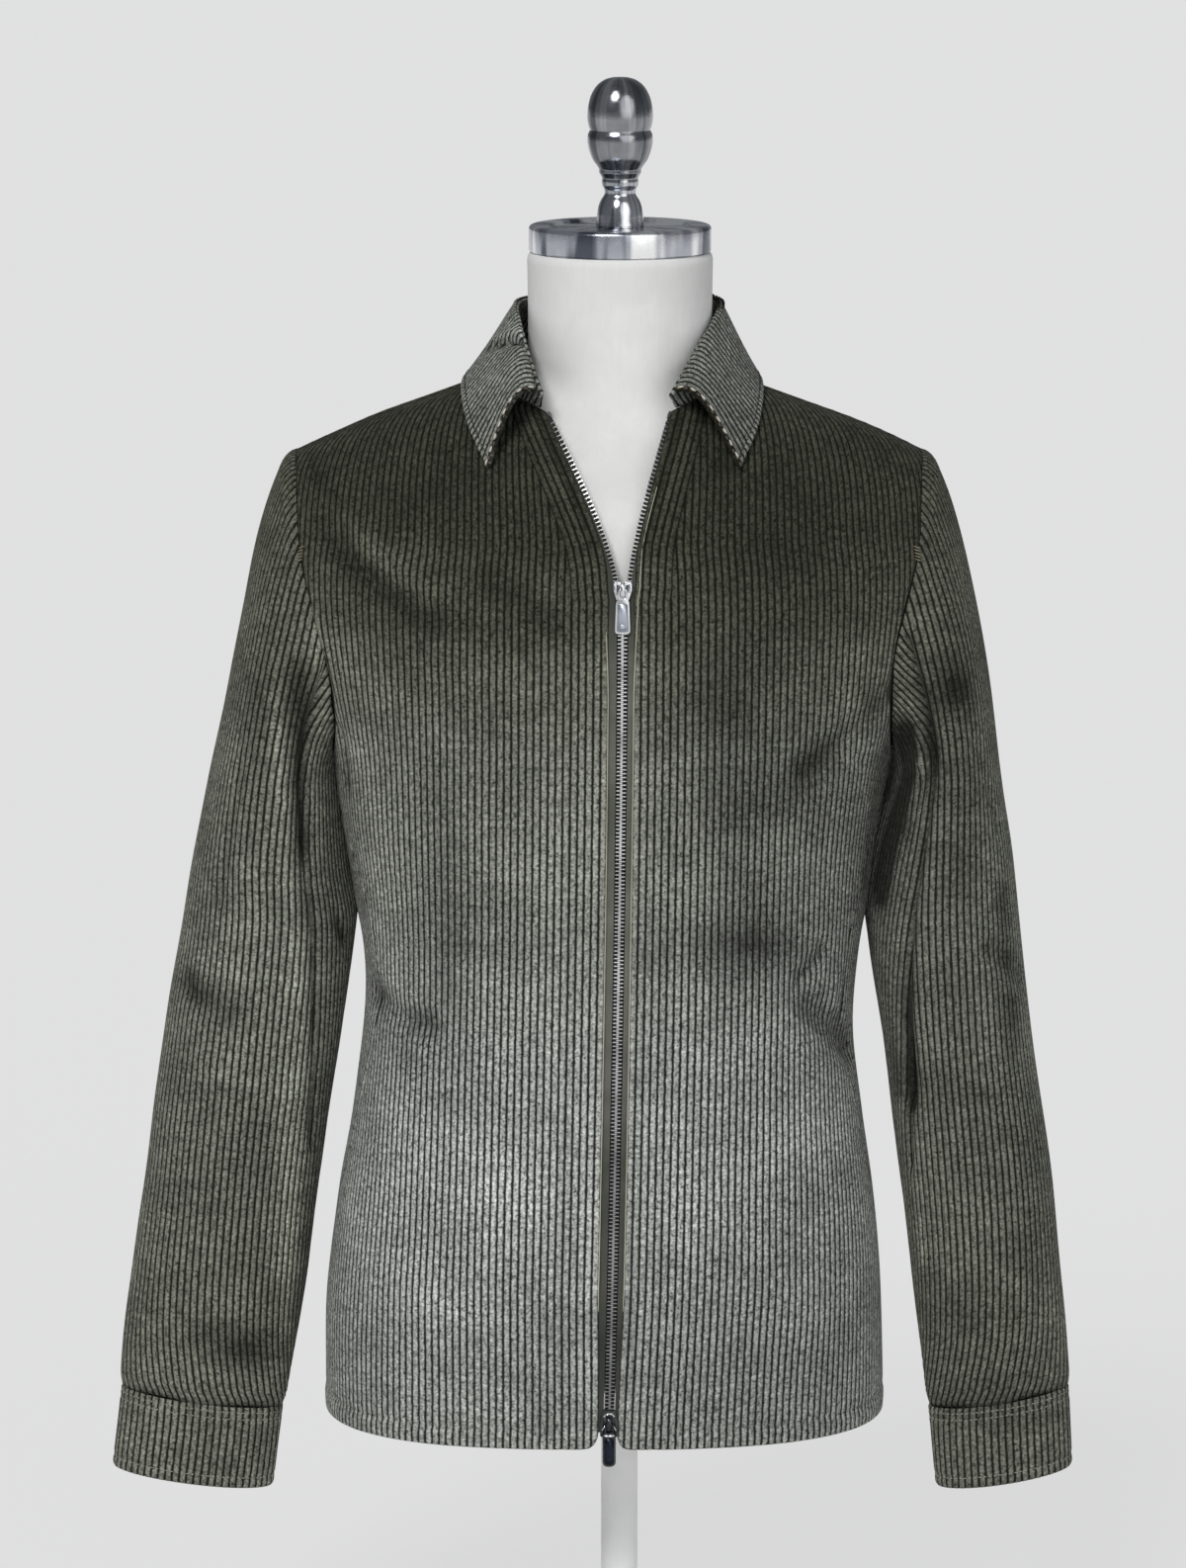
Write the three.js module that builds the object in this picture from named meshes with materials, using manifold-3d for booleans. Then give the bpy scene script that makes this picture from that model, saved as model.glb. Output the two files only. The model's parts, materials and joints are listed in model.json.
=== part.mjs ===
// A man's zip jacket in wide-wale velvet corduroy, worn on a limbless tailor's form with a short stand.
// Units are millimetres, +Z is up and the jacket's front faces -Y. The origin is under the stand's foot.
// "left" and "right" are the wearer's, so the left side of the jacket lies at +X.
import * as THREE from 'three';
import { mergeVertices } from 'three/addons/utils/BufferGeometryUtils.js';
import Module from 'manifold-3d';

const wasm = await Module();
wasm.setup();

// ---- driving dimensions ----
const LIFT = 40; // height of the garment's own zero above the floor
const CLOTH = 1.8; // thickness of the corduroy
const DOUBLE_CLOTH = 2.6; // collar and cuffs, two layers
const SEAM = 0.3; // gap between sewn pieces
const HEM = 160; // height of the hem
const NECK_POINT = 832; // height where the shoulder seam meets the neckline
const SHOULDER_START = 690; // the chest starts to roll back to the shoulder line here
const ROLL = { front: 1.8, back: 2.4 }; // powers of that roll
const SIDES = { right: -1, left: 1 };

const SLIDER_TOP = 712; // middle of the upper slider
const SLIDER_BOTTOM = 177;
const CHAIN_HALF = 3; // half the width of the closed teeth
const CHAIN_THICK = 2.4;
const CHAIN_DEPTH = 3; // middle of the teeth behind the cloth's face
const EDGE_GAP = { right: 7, left: 5.6 }; // cloth edge to the middle of the zip
const OPEN_SPREAD = { right: 43.5, left: 27 }; // how far each edge has opened at the neck
const PARTING = { start: 706, length: 8, reach: 1.6 };
const OPEN_START = 718;
const OPEN_END = 819;
const OPEN_POWER = 1.3;
const CORNER = 9; // rounding of the front corners at the hem
const NECK_HALF = 77; // half width of the neckline at the shoulder seam

// Level sections of the body: half width, depth to the front and back, power of the section's curve.
const BODY = [
  { z: 150, centre: -10.2, half: 182.5, front: 140, back: 127, power: 2.7 },
  { z: 230, centre: -9.7, half: 181.3, front: 139, back: 126, power: 2.65 },
  { z: 300, centre: -8.9, half: 174.5, front: 137, back: 121, power: 2.55 },
  { z: 353, centre: -8.2, half: 166.4, front: 134, back: 115, power: 2.5 },
  { z: 405, centre: -7.3, half: 159.7, front: 131, back: 110, power: 2.4 },
  { z: 445, centre: -5.8, half: 159, front: 130, back: 108, power: 2.35 },
  { z: 490, centre: -5.5, half: 163.5, front: 130, back: 108, power: 2.3 },
  { z: 549, centre: -6.3, half: 172, front: 131, back: 112, power: 2.3 },
  { z: 600, centre: -4.5, half: 182, front: 131, back: 117, power: 2.35 },
  { z: 650, centre: -6, half: 199, front: 129, back: 120, power: 2.4 },
  { z: 690, centre: -7, half: 214, front: 127, back: 121, power: 2.4 },
  { z: 740, centre: -7, half: 226, front: 127, back: 121, power: 2.4 },
  { z: 870, centre: -7, half: 226, front: 127, back: 121, power: 2.4 },
];

// Where the side seam lies, front to back, going up the side.
const SIDE_SEAM = [
  { z: 150, y: 4 },
  { z: 260, y: -10 },
  { z: 340, y: -36 },
  { z: 430, y: -54 },
  { z: 490, y: -50 },
  { z: 550, y: -20 },
  { z: 588, y: 2 },
];

// The armhole seen from the side: an oval.
const ARMHOLE = { y: 2, z: 686.5, halfHeight: 98.5, halfDepth: 76 };
const ARMHOLE_STEPS = 20;

// Sections of the two sleeves and cuffs, each a tilted oval.
const SLEEVES = {
  right: [
    { z: 112, centre: -279.5, half: 51.8, depth: 28, y: -20 },
    { z: 166, centre: -272.5, half: 52.4, depth: 29, y: -20 },
    { z: 178, centre: -270.8, half: 54.2, depth: 34, y: -20 },
    { z: 220, centre: -265.2, half: 56, depth: 44, y: -18 },
    { z: 300, centre: -254, half: 56.4, depth: 51, y: -14 },
    { z: 405, centre: -238.4, half: 56.4, depth: 57, y: -8 },
    { z: 484, centre: -226.8, half: 55, depth: 63, y: -4 },
    { z: 523, centre: -226, half: 49, depth: 69, y: -1 },
    { z: 580, centre: -223.5, half: 39.8, depth: 73, y: 1 },
  ],
  left: [
    { z: 112, centre: 252, half: 43.8, depth: 28, y: -20 },
    { z: 166, centre: 247.8, half: 45.2, depth: 29, y: -20 },
    { z: 178, centre: 246.5, half: 46.4, depth: 34, y: -20 },
    { z: 220, centre: 242, half: 48, depth: 46, y: -18 },
    { z: 300, centre: 233.4, half: 48.4, depth: 54, y: -14 },
    { z: 405, centre: 219.4, half: 48, depth: 60, y: -8 },
    { z: 484, centre: 209.6, half: 48.4, depth: 66, y: -4 },
    { z: 523, centre: 208.6, half: 45, depth: 70, y: -1 },
    { z: 549, centre: 209, half: 40.9, depth: 73, y: 0 },
    { z: 580, centre: 211, half: 34.8, depth: 75, y: 1 },
  ],
};
const SLEEVE_TILT = { right: 0.13, left: 0.16 }; // rise of a section towards its outer side
const CUFF_SEAM = 166;
const CUFF_END = 112;
const SLEEVE_START = 580;

// The collar from its front end (station 0) to the middle of the back (station 6), one side.
// roll is the fold at its top, edge is its outer edge, and centre is the middle between the two sides.
const COLLAR = [
  { s: 0, centre: -9.3, rollX: 43.5, rollY: -80, rollZ: 834, centreEdge: -4.3, edgeX: 81, edgeY: -94, edgeZ: 787 },
  { s: 1, centre: -6.5, rollX: 51.5, rollY: -54, rollZ: 851, centreEdge: -4.6, edgeX: 92, edgeY: -68, edgeZ: 808 },
  { s: 2, centre: -3, rollX: 61, rollY: -22, rollZ: 869, centreEdge: -5, edgeX: 97, edgeY: -33, edgeZ: 825 },
  { s: 3, centre: -1, rollX: 65, rollY: 8, rollZ: 879, centreEdge: -5, edgeX: 96, edgeY: 2, edgeZ: 832 },
  { s: 4, centre: -1, rollX: 57, rollY: 38, rollZ: 880, centreEdge: -5, edgeX: 85, edgeY: 36, edgeZ: 832 },
  { s: 5, centre: -1, rollX: 33, rollY: 62, rollZ: 879, centreEdge: -4, edgeX: 50, edgeY: 68, edgeZ: 829 },
  { s: 6, centre: -1, rollX: 0, rollY: 71, rollZ: 878, centreEdge: -4, edgeX: 0, edgeY: 82, edgeZ: 827 },
];
const STAND_FRONT = { x: 40.5, y: -74.5, z: 828 }; // top of the collar band's front end
const STAND_CENTRE = -8.5;

// The largest folds: each a soft trough (negative) or ridge along a line, with its half width.
const FOLDS = [
  { name: 'left sleeve inner', from: [203, -58, 600], to: [190, -48, 300], width: 11, depth: -9 },
  { name: 'left sleeve inner ridge', from: [218, -72, 590], to: [206, -56, 330], width: 13, depth: 3 },
  { name: 'right sleeve inner', from: [-203, -66, 610], to: [-196, -62, 500], width: 10, depth: -5 },
  { name: 'right sleeve front ridge', from: [-232, -72, 600], to: [-232, -60, 420], width: 12, depth: 2.5 },
  { name: 'left waist', from: [122, -103, 446], to: [150, -40, 400], width: 11, depth: -5 },
  { name: 'left chest', from: [118, -108, 592], to: [168, -62, 640], width: 11, depth: -3 },
  { name: 'right waist', from: [-158, -50, 440], to: [-120, -98, 428], width: 9, depth: -3.5 },
  { name: 'back waist right', from: [-140, 70, 420], to: [-30, 108, 446], width: 13, depth: -4 },
  { name: 'back waist left', from: [132, 72, 440], to: [24, 108, 418], width: 13, depth: -4 },
  { name: 'right elbow', from: [-236, 44, 420], to: [-196, 30, 380], width: 12, depth: -4 },
  { name: 'left elbow', from: [222, 46, 430], to: [186, 30, 396], width: 12, depth: -4 },
];

// ---- small helpers ----
const v3 = (x, y, z) => new THREE.Vector3(x, y, z);
const clamp = THREE.MathUtils.clamp;
const range = (n) => Array.from({ length: n }, (_, i) => i);

// Reads a column of a table at v, on a smooth curve through the rows.
function at(table, key, column, v) {
  const last = table.length - 1;
  let i = 0;
  while (i < last - 1 && v > table[i + 1][key]) i += 1;
  const slope = (k) => {
    const a = table[Math.max(k - 1, 0)];
    const b = table[Math.min(k + 1, last)];
    return (b[column] - a[column]) / (b[key] - a[key]);
  };
  const span = table[i + 1][key] - table[i][key];
  const t = clamp((v - table[i][key]) / span, 0, 1);
  const a = table[i][column];
  const b = table[i + 1][column];
  const h = t * t * (3 - 2 * t);
  return a * (1 - h) + b * h + span * t * (1 - t) * ((1 - t) * slope(i) - t * slope(i + 1));
}

function foldShift(p) {
  let shift = 0;
  for (const fold of FOLDS) {
    const line = new THREE.Line3(v3(...fold.from), v3(...fold.to));
    const near = line.closestPointToPoint(p, true, v3(0, 0, 0));
    const far = near.distanceTo(p) / fold.width;
    shift += fold.depth * Math.exp(-far * far);
  }
  return shift;
}

// ---- the body's surface ----
// The shoulder line falls from the neck to the shoulder point.
const SHOULDER = { top: 861.5, slope: 0.36, bendStart: 140, bend: 0.0012 };
function shoulderHeight(half) {
  const past = Math.max(0, half - SHOULDER.bendStart);
  return SHOULDER.top - SHOULDER.slope * half - SHOULDER.bend * past * past;
}
function shoulderHalf(z) {
  const { top, slope, bendStart, bend } = SHOULDER;
  const fall = top - z - slope * bendStart;
  if (fall <= 0) return (top - z) / slope;
  return bendStart + (Math.sqrt(slope * slope + 4 * bend * fall) - slope) / (2 * bend);
}
function sectionAt(z) {
  const read = (column) => at(BODY, 'z', column, z);
  const full = read('half');
  const half = Math.min(full, shoulderHalf(z));
  return { z, centre: read('centre'), half, full, front: read('front'), back: read('back'), power: read('power') };
}
// turn 0 is the middle of the front, 90 the side and 180 the middle of the back.
function onSection(section, turn, side) {
  const angle = THREE.MathUtils.degToRad(turn);
  const across = section.half * Math.sin(angle);
  const depth = turn < 90 ? -section.front : section.back;
  const share = Math.min(1, Math.abs(across) / section.full);
  const curve = Math.pow(1 - Math.pow(share, section.power), 1 / section.power);
  const height = shoulderHeight(Math.abs(across)) - SHOULDER_START;
  const rise = clamp((section.z - SHOULDER_START) / height, 0, 1);
  const roll = Math.sqrt(1 - Math.pow(rise, turn < 90 ? ROLL.front : ROLL.back));
  return v3(section.centre + side * across, depth * curve * roll, section.z);
}
function bodyPoint(z, turn, side) {
  return onSection(sectionAt(z), turn, side);
}
function bodyNormal(z, turn, side) {
  const step = 0.6;
  const around = bodyPoint(z, turn + step, side).sub(bodyPoint(z, turn - step, side));
  const up = bodyPoint(z + 1, turn, side).sub(bodyPoint(z - 1, turn, side));
  return around.cross(up).normalize().multiplyScalar(side);
}
// The turn at which a level section reaches the depth y.
function turnAtDepth(section, y, side) {
  let low = 0;
  let high = 180;
  for (let i = 0; i < 40; i += 1) {
    const mid = (low + high) / 2;
    if (onSection(section, mid, side).y < y) low = mid;
    else high = mid;
  }
  return (low + high) / 2;
}
function turnAtAcross(section, x, side) {
  const across = clamp((side * (x - section.centre)) / section.half, -0.999, 0.999);
  return THREE.MathUtils.radToDeg(Math.asin(across));
}

// ---- lines on the body ----
const ZIP_DRIFT = { top: 1.3, drop: 8.5, reach: 547, power: 1.6 };
function zipLine(z) {
  const down = Math.max(0, (OPEN_START - z) / ZIP_DRIFT.reach);
  return ZIP_DRIFT.top - ZIP_DRIFT.drop * Math.pow(down, ZIP_DRIFT.power);
}
// How far one run of teeth has left the middle of the zip: it parts in the slider, then opens to the neck.
function opening(z, name) {
  const parted = PARTING.reach * clamp((z - PARTING.start) / PARTING.length, 0, 1);
  const up = Math.max(0, (z - OPEN_START) / (OPEN_END - OPEN_START));
  return parted + OPEN_SPREAD[name] * Math.pow(up, OPEN_POWER);
}
function frontEdge(z, name) {
  const side = SIDES[name];
  let gap = EDGE_GAP[name] + opening(Math.min(z, OPEN_END), name);
  if (z < HEM + CORNER) gap += CORNER;
  if (z > OPEN_END) {
    const part = (z - OPEN_END) / (NECK_POINT - OPEN_END);
    const neck = side * (sectionAt(NECK_POINT).centre - zipLine(z)) + NECK_HALF;
    gap += (neck - gap) * part;
  }
  return zipLine(z) + side * gap;
}
function armholeDepth(z) {
  const part = clamp((z - ARMHOLE.z) / ARMHOLE.halfHeight, -1, 1);
  return ARMHOLE.halfDepth * Math.sqrt(1 - part * part);
}
// Where the front ends and the back starts on a level section.
function seams(section, side) {
  const z = section.z;
  const bottom = ARMHOLE.z - ARMHOLE.halfHeight;
  const top = ARMHOLE.z + ARMHOLE.halfHeight;
  if (z <= bottom + 0.01) {
    const turn = turnAtDepth(section, at(SIDE_SEAM, 'z', 'y', z), side);
    return { front: turn, back: turn };
  }
  if (z >= top - 0.01) return { front: 90, back: 90 };
  const depth = armholeDepth(z);
  const front = turnAtDepth(section, ARMHOLE.y - depth, side);
  const back = turnAtDepth(section, ARMHOLE.y + depth, side);
  return { front, back };
}

const armholeLevels = range(ARMHOLE_STEPS / 2 + 1).map(
  (k) => ARMHOLE.z - ARMHOLE.halfHeight * Math.cos((Math.PI * k) / (ARMHOLE_STEPS / 2)),
);
const levels = [
  HEM, HEM + CORNER + 2, 200, 240, 285, 330, 375, 405, 430, 455, 490, 540,
  ...armholeLevels,
  797, 808, OPEN_END, 825.5, NECK_POINT,
];

// Points at even distances along a level section between two turns, each pulled back by half a seam.
function along(section, side, fromTurn, toTurn, columns, trim) {
  const fine = 90;
  const points = range(fine + 1).map((i) => {
    const turn = fromTurn + ((toTurn - fromTurn) * i) / fine;
    return { turn, point: onSection(section, turn, side) };
  });
  const reach = [0];
  for (let i = 1; i <= fine; i += 1) {
    reach.push(reach[i - 1] + points[i].point.distanceTo(points[i - 1].point));
  }
  const total = reach[fine];
  return range(columns + 1).map((k) => {
    const want = trim.start + ((total - trim.start - trim.end) * k) / columns;
    let i = 1;
    while (i < fine && reach[i] < want) i += 1;
    const part = (want - reach[i - 1]) / (reach[i] - reach[i - 1]);
    return points[i - 1].turn + (points[i].turn - points[i - 1].turn) * part;
  });
}

// ---- solids from grids of points ----
// A wall between two grids of points: an outer face, an inner face and the edges between them.
function wallGeometry(outer, inner, closed) {
  const rows = outer.length;
  const columns = outer[0].length;
  const points = [...outer.flat(), ...inner.flat()];
  const size = rows * columns;
  const id = (layer, r, c) => layer * size + r * columns + (c % columns);
  const triangles = [];
  const quad = (a, b, c, d) => triangles.push(a, b, c, a, c, d);
  const spans = closed ? columns : columns - 1;
  for (let r = 0; r < rows - 1; r += 1) {
    for (let c = 0; c < spans; c += 1) {
      quad(id(0, r, c), id(0, r, c + 1), id(0, r + 1, c + 1), id(0, r + 1, c));
      quad(id(1, r, c), id(1, r + 1, c), id(1, r + 1, c + 1), id(1, r, c + 1));
    }
  }
  for (let c = 0; c < spans; c += 1) {
    quad(id(0, 0, c + 1), id(0, 0, c), id(1, 0, c), id(1, 0, c + 1));
    quad(id(0, rows - 1, c), id(0, rows - 1, c + 1), id(1, rows - 1, c + 1), id(1, rows - 1, c));
  }
  if (!closed) {
    for (let r = 0; r < rows - 1; r += 1) {
      quad(id(0, r, 0), id(0, r + 1, 0), id(1, r + 1, 0), id(1, r, 0));
      quad(id(0, r + 1, columns - 1), id(0, r, columns - 1), id(1, r, columns - 1), id(1, r + 1, columns - 1));
    }
  }
  return closedGeometry(points, triangles);
}

// A geometry from points and triangles, turned so that its faces point out.
function closedGeometry(points, triangles) {
  let volume = 0;
  for (let i = 0; i < triangles.length; i += 3) {
    const [a, b, c] = [0, 1, 2].map((k) => points[triangles[i + k]]);
    volume += a.dot(b.clone().cross(c));
  }
  const index = volume > 0 ? triangles : triangles.slice().reverse();
  const geometry = new THREE.BufferGeometry();
  geometry.setAttribute('position', new THREE.Float32BufferAttribute(points.flatMap((p) => [p.x, p.y, p.z]), 3));
  geometry.setIndex(index);
  return geometry;
}

// A closed solid with round rows, capped at both ends.
function stackGeometry(rows) {
  const columns = rows[0].length;
  const points = rows.flat();
  const triangles = [];
  for (let r = 0; r < rows.length - 1; r += 1) {
    for (let c = 0; c < columns; c += 1) {
      const a = r * columns + c;
      const b = r * columns + ((c + 1) % columns);
      triangles.push(a, b, b + columns, a, b + columns, a + columns);
    }
  }
  const middle = (row) => row.reduce((sum, p) => sum.add(p), v3(0, 0, 0)).divideScalar(row.length);
  const low = points.push(middle(rows[0])) - 1;
  const high = points.push(middle(rows[rows.length - 1])) - 1;
  const start = (rows.length - 1) * columns;
  for (let c = 0; c < columns; c += 1) {
    const next = (c + 1) % columns;
    triangles.push(low, next, c);
    triangles.push(high, start + c, start + next);
  }
  return closedGeometry(points, triangles);
}

function toSolid(geometry) {
  const bare = geometry.clone();
  bare.deleteAttribute('normal');
  bare.deleteAttribute('uv');
  const merged = mergeVertices(bare, 1e-4);
  const vertProperties = new Float32Array(merged.attributes.position.array);
  const triVerts = new Uint32Array(merged.index.array);
  return new wasm.Manifold(new wasm.Mesh({ numProp: 3, vertProperties, triVerts }));
}
function fromSolid(solid) {
  const mesh = solid.getMesh();
  const geometry = new THREE.BufferGeometry();
  geometry.setAttribute('position', new THREE.Float32BufferAttribute(mesh.vertProperties, 3));
  geometry.setIndex(Array.from(mesh.triVerts));
  return geometry;
}

// ---- materials ----
const finish = (color, roughness, metalness) => new THREE.MeshStandardMaterial({ color, roughness, metalness });
const corduroy = finish(0x5b5f50, 0.95, 0);
const zipTape = finish(0x3a3d31, 0.9, 0);
const zipMetal = finish(0xa9a9a2, 0.35, 1);
const brightMetal = finish(0xc3c4c2, 0.25, 1);
const darkMetal = finish(0x4d4e4c, 0.35, 1);
const canvas = finish(0xe4e2dc, 0.9, 0);
const painted = finish(0xd8d8d4, 0.5, 0.2);

const jacket = new THREE.Group();
const form = new THREE.Group();
function add(group, name, geometry, material) {
  const mesh = new THREE.Mesh(geometry, material);
  mesh.name = name;
  group.add(mesh);
  return mesh;
}

// ---- fronts and back ----
// A sheet's outer points from rows of { z, side, turn }, and its inner points a thickness below.
function panelGeometry(rows, thickness, sunk) {
  const move = (spot, depth) => {
    const point = bodyPoint(spot.z, spot.turn, spot.side);
    const normal = bodyNormal(spot.z, spot.turn, spot.side);
    return point.clone().addScaledVector(normal, foldShift(point) - depth);
  };
  const outer = rows.map((row) => row.map((spot) => move(spot, sunk)));
  const inner = rows.map((row) => row.map((spot) => move(spot, sunk + thickness)));
  return wallGeometry(outer, inner, false);
}

const FRONT_COLUMNS = 11;
function frontPanel(name) {
  const side = SIDES[name];
  const trim = { start: 0, end: SEAM / 2 };
  const rows = levels.map((z) => {
    const section = sectionAt(z);
    const start = turnAtAcross(section, frontEdge(z, name), side);
    const turns = along(section, side, start, seams(section, side).front, FRONT_COLUMNS, trim);
    return turns.map((turn) => ({ z, side, turn }));
  });
  return panelGeometry(rows, CLOTH, 0);
}
add(jacket, 'front_left', frontPanel('left'), corduroy);
add(jacket, 'front_right', frontPanel('right'), corduroy);

const BACK_COLUMNS = 11; // on each side of the middle
function backPanel() {
  const trim = { start: SEAM / 2, end: 0 };
  const half = (z, side) => {
    const section = sectionAt(z);
    const turns = along(section, side, seams(section, side).back, 180, BACK_COLUMNS, trim);
    return turns.map((turn) => ({ z, side, turn }));
  };
  const rows = levels.map((z) => [...half(z, SIDES.left), ...half(z, SIDES.right).reverse().slice(1)]);
  return panelGeometry(rows, CLOTH, 0);
}
add(jacket, 'back', backPanel(), corduroy);

// ---- sleeves and cuffs ----
// angle 0 is the outer side (the shoulder point at the armhole), 90 the front and 180 under the arm.
function sleeveRing(name, z, angle) {
  const side = SIDES[name];
  const read = (column) => at(SLEEVES[name], 'z', column, z);
  const out = Math.cos(angle) * read('half');
  return v3(read('centre') + side * out, read('y') - Math.sin(angle) * read('depth'), z + out * SLEEVE_TILT[name]);
}
function armholePoint(name, angle) {
  const side = SIDES[name];
  const z = ARMHOLE.z + ARMHOLE.halfHeight * Math.cos(angle);
  const y = ARMHOLE.y - ARMHOLE.halfDepth * Math.sin(angle);
  const section = sectionAt(z);
  const turn = Math.abs(Math.sin(angle)) < 1e-6 && Math.cos(angle) > 0 ? 90 : turnAtDepth(section, y, side);
  const point = onSection(section, turn, side);
  return { point, normal: bodyNormal(z, turn, side) };
}
const CAP = { reach: 0.1, hang: 0.5, gap: SEAM, proud: 0.3 };
function armholeFrame(name, angle) {
  const step = 0.05;
  const here = armholePoint(name, angle);
  const tangent = armholePoint(name, angle + step).point.sub(armholePoint(name, angle - step).point);
  const away = here.normal.clone().cross(tangent).normalize();
  const middle = v3(0, ARMHOLE.y, ARMHOLE.z).sub(here.point).setX(0);
  if (away.dot(middle) < 0 && Math.abs(away.x) < 0.9) away.negate();
  if (Math.abs(away.x) >= 0.9) away.multiplyScalar(Math.sign(away.x) * SIDES[name]);
  return { ...here, away };
}
function sleevePoint(name, angle, part) {
  const start = armholeFrame(name, angle);
  const p0 = start.point.clone().addScaledVector(start.away, CAP.gap).addScaledVector(start.normal, CAP.proud);
  const p3 = sleeveRing(name, SLEEVE_START, angle);
  const up = sleeveRing(name, SLEEVE_START, angle).sub(sleeveRing(name, SLEEVE_START - 20, angle));
  up.setY(0).normalize();
  const length = p0.distanceTo(p3);
  const outward = start.away.clone().addScaledVector(v3(SIDES[name], 0, 0), 0.6).normalize();
  const p1 = p0.clone().addScaledVector(outward, CAP.reach * length);
  const p2 = p3.clone().addScaledVector(up, CAP.hang * length);
  return new THREE.CubicBezierCurve3(p0, p1, p2, p3).getPoint(part);
}
const CAP_PARTS = [0, 0.16, 0.36, 0.62, 0.84];
const SLEEVE_LEVELS = [580, 553, 523, 484, 445, 405, 352, 300, 260, 220, 178, CUFF_SEAM + SEAM];
const ringAngles = range(ARMHOLE_STEPS).map((k) => (2 * Math.PI * k) / ARMHOLE_STEPS);

// Normals of a ring-shaped grid, from each point's neighbours.
function gridNormals(grid, closed) {
  const rows = grid.length;
  const columns = grid[0].length;
  const pick = (r, c) => {
    const row = grid[clamp(r, 0, rows - 1)];
    return closed ? row[(c + columns) % columns] : row[clamp(c, 0, columns - 1)];
  };
  return grid.map((row, r) => row.map((_, c) => {
    const around = pick(r, c + 1).clone().sub(pick(r, c - 1));
    const down = pick(r + 1, c).clone().sub(pick(r - 1, c));
    return around.cross(down).normalize();
  }));
}
function offsetGrid(grid, normals, depth) {
  return grid.map((row, r) => row.map((p, c) => p.clone().addScaledVector(normals[r][c], depth)));
}
// Turns the normals of a tube so that they point away from its middle line.
function outwardNormals(grid) {
  const normals = gridNormals(grid, true);
  const middle = grid[grid.length - 1].reduce((sum, p) => sum.add(p), v3(0, 0, 0)).divideScalar(grid[0].length);
  const last = grid.length - 1;
  const sign = Math.sign(normals[last][0].dot(grid[last][0].clone().sub(middle)));
  return normals.map((row) => row.map((n) => n.multiplyScalar(sign)));
}

function sleeve(name) {
  const cap = CAP_PARTS.map((part) => ringAngles.map((angle) => sleevePoint(name, angle, part)));
  const arm = SLEEVE_LEVELS.map((z) => ringAngles.map((angle) => sleeveRing(name, z, angle)));
  const grid = [...cap, ...arm];
  const normals = outwardNormals(grid);
  const folded = grid.map((row, r) => row.map((p, c) => {
    const fade = r < 2 ? 0 : 1;
    return p.clone().addScaledVector(normals[r][c], fade * foldShift(p));
  }));
  const inner = offsetGrid(folded, normals, -CLOTH);
  // The wall's first row stays clear of the body's edge.
  ringAngles.forEach((angle, c) => {
    const { away } = armholeFrame(name, angle);
    const inward = normals[0][c].clone().multiplyScalar(-CLOTH);
    const toBody = Math.min(0, inward.dot(away));
    inner[0][c] = folded[0][c].clone().add(inward.addScaledVector(away, -toBody));
  });
  return wallGeometry(folded, inner, true);
}
function cuff(name) {
  const cuffLevels = [CUFF_SEAM, 139, CUFF_END];
  const grid = cuffLevels.map((z) => ringAngles.map((angle) => sleeveRing(name, z, angle)));
  return wallGeometry(grid, offsetGrid(grid, outwardNormals(grid), -DOUBLE_CLOTH), true);
}
for (const name of ['left', 'right']) {
  add(jacket, `sleeve_${name}`, sleeve(name), corduroy);
  add(jacket, `cuff_${name}`, cuff(name), corduroy);
}

// ---- collar ----
const COLLAR_STATIONS = 6;
const COLLAR_STEPS = 12; // on each side of the middle of the back
// s runs from -6 at the wearer's right front, through 0 at the middle of the back, to 6 at the left front.
function collarRow(s) {
  const side = s < 0 ? SIDES.right : SIDES.left;
  const station = COLLAR_STATIONS - Math.abs(s);
  const read = (column) => at(COLLAR, 's', column, station);
  const roll = v3(read('centre') + side * read('rollX'), read('rollY'), read('rollZ'));
  const edge = v3(read('centreEdge') + side * read('edgeX'), read('edgeY'), read('edgeZ'));
  return { side, station, roll, edge };
}
const stationList = range(2 * COLLAR_STEPS + 1).map((k) => -COLLAR_STATIONS + (COLLAR_STATIONS * k) / COLLAR_STEPS);
const FALL_PARTS = [0, 0.14, 0.32, 0.55, 0.78, 1];
// How the collar rises out of its roll line; near its front ends it first reaches outwards.
const ROLL_RISE = { out: 4, frontOut: 15, up: 7 };
const FALL_BELLY = { part: 0.45, out: 6, up: 6 }; // and bellies out on its way down
function collarFall() {
  const grid = stationList.map((s) => {
    const { roll, edge, station } = collarRow(s);
    const out = edge.clone().sub(roll).setZ(0).normalize();
    const reach = ROLL_RISE.out + ROLL_RISE.frontOut * clamp(1 - station / 1.5, 0, 1);
    const rise = roll.clone().addScaledVector(out, reach).add(v3(0, 0, ROLL_RISE.up));
    const belly = v3(0, 0, FALL_BELLY.up).addScaledVector(out, FALL_BELLY.out);
    const drop = edge.clone().lerp(roll, FALL_BELLY.part).add(belly);
    const curve = new THREE.CubicBezierCurve3(roll, rise, drop, edge);
    return FALL_PARTS.map((part) => curve.getPoint(part));
  });
  const normals = gridNormals(grid, false);
  const middle = normals[COLLAR_STEPS][3];
  const sign = Math.sign(middle.y + middle.z);
  const up = normals.map((row) => row.map((n) => n.clone().multiplyScalar(sign)));
  return wallGeometry(grid, offsetGrid(grid, up, -DOUBLE_CLOTH), false);
}
add(jacket, 'collar', collarFall(), corduroy);

const SHOULDER_STATION = 2.6; // the shoulder seam meets the collar here
const STAND_GAP = { bottom: 0.7, top: 2.2 };
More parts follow.
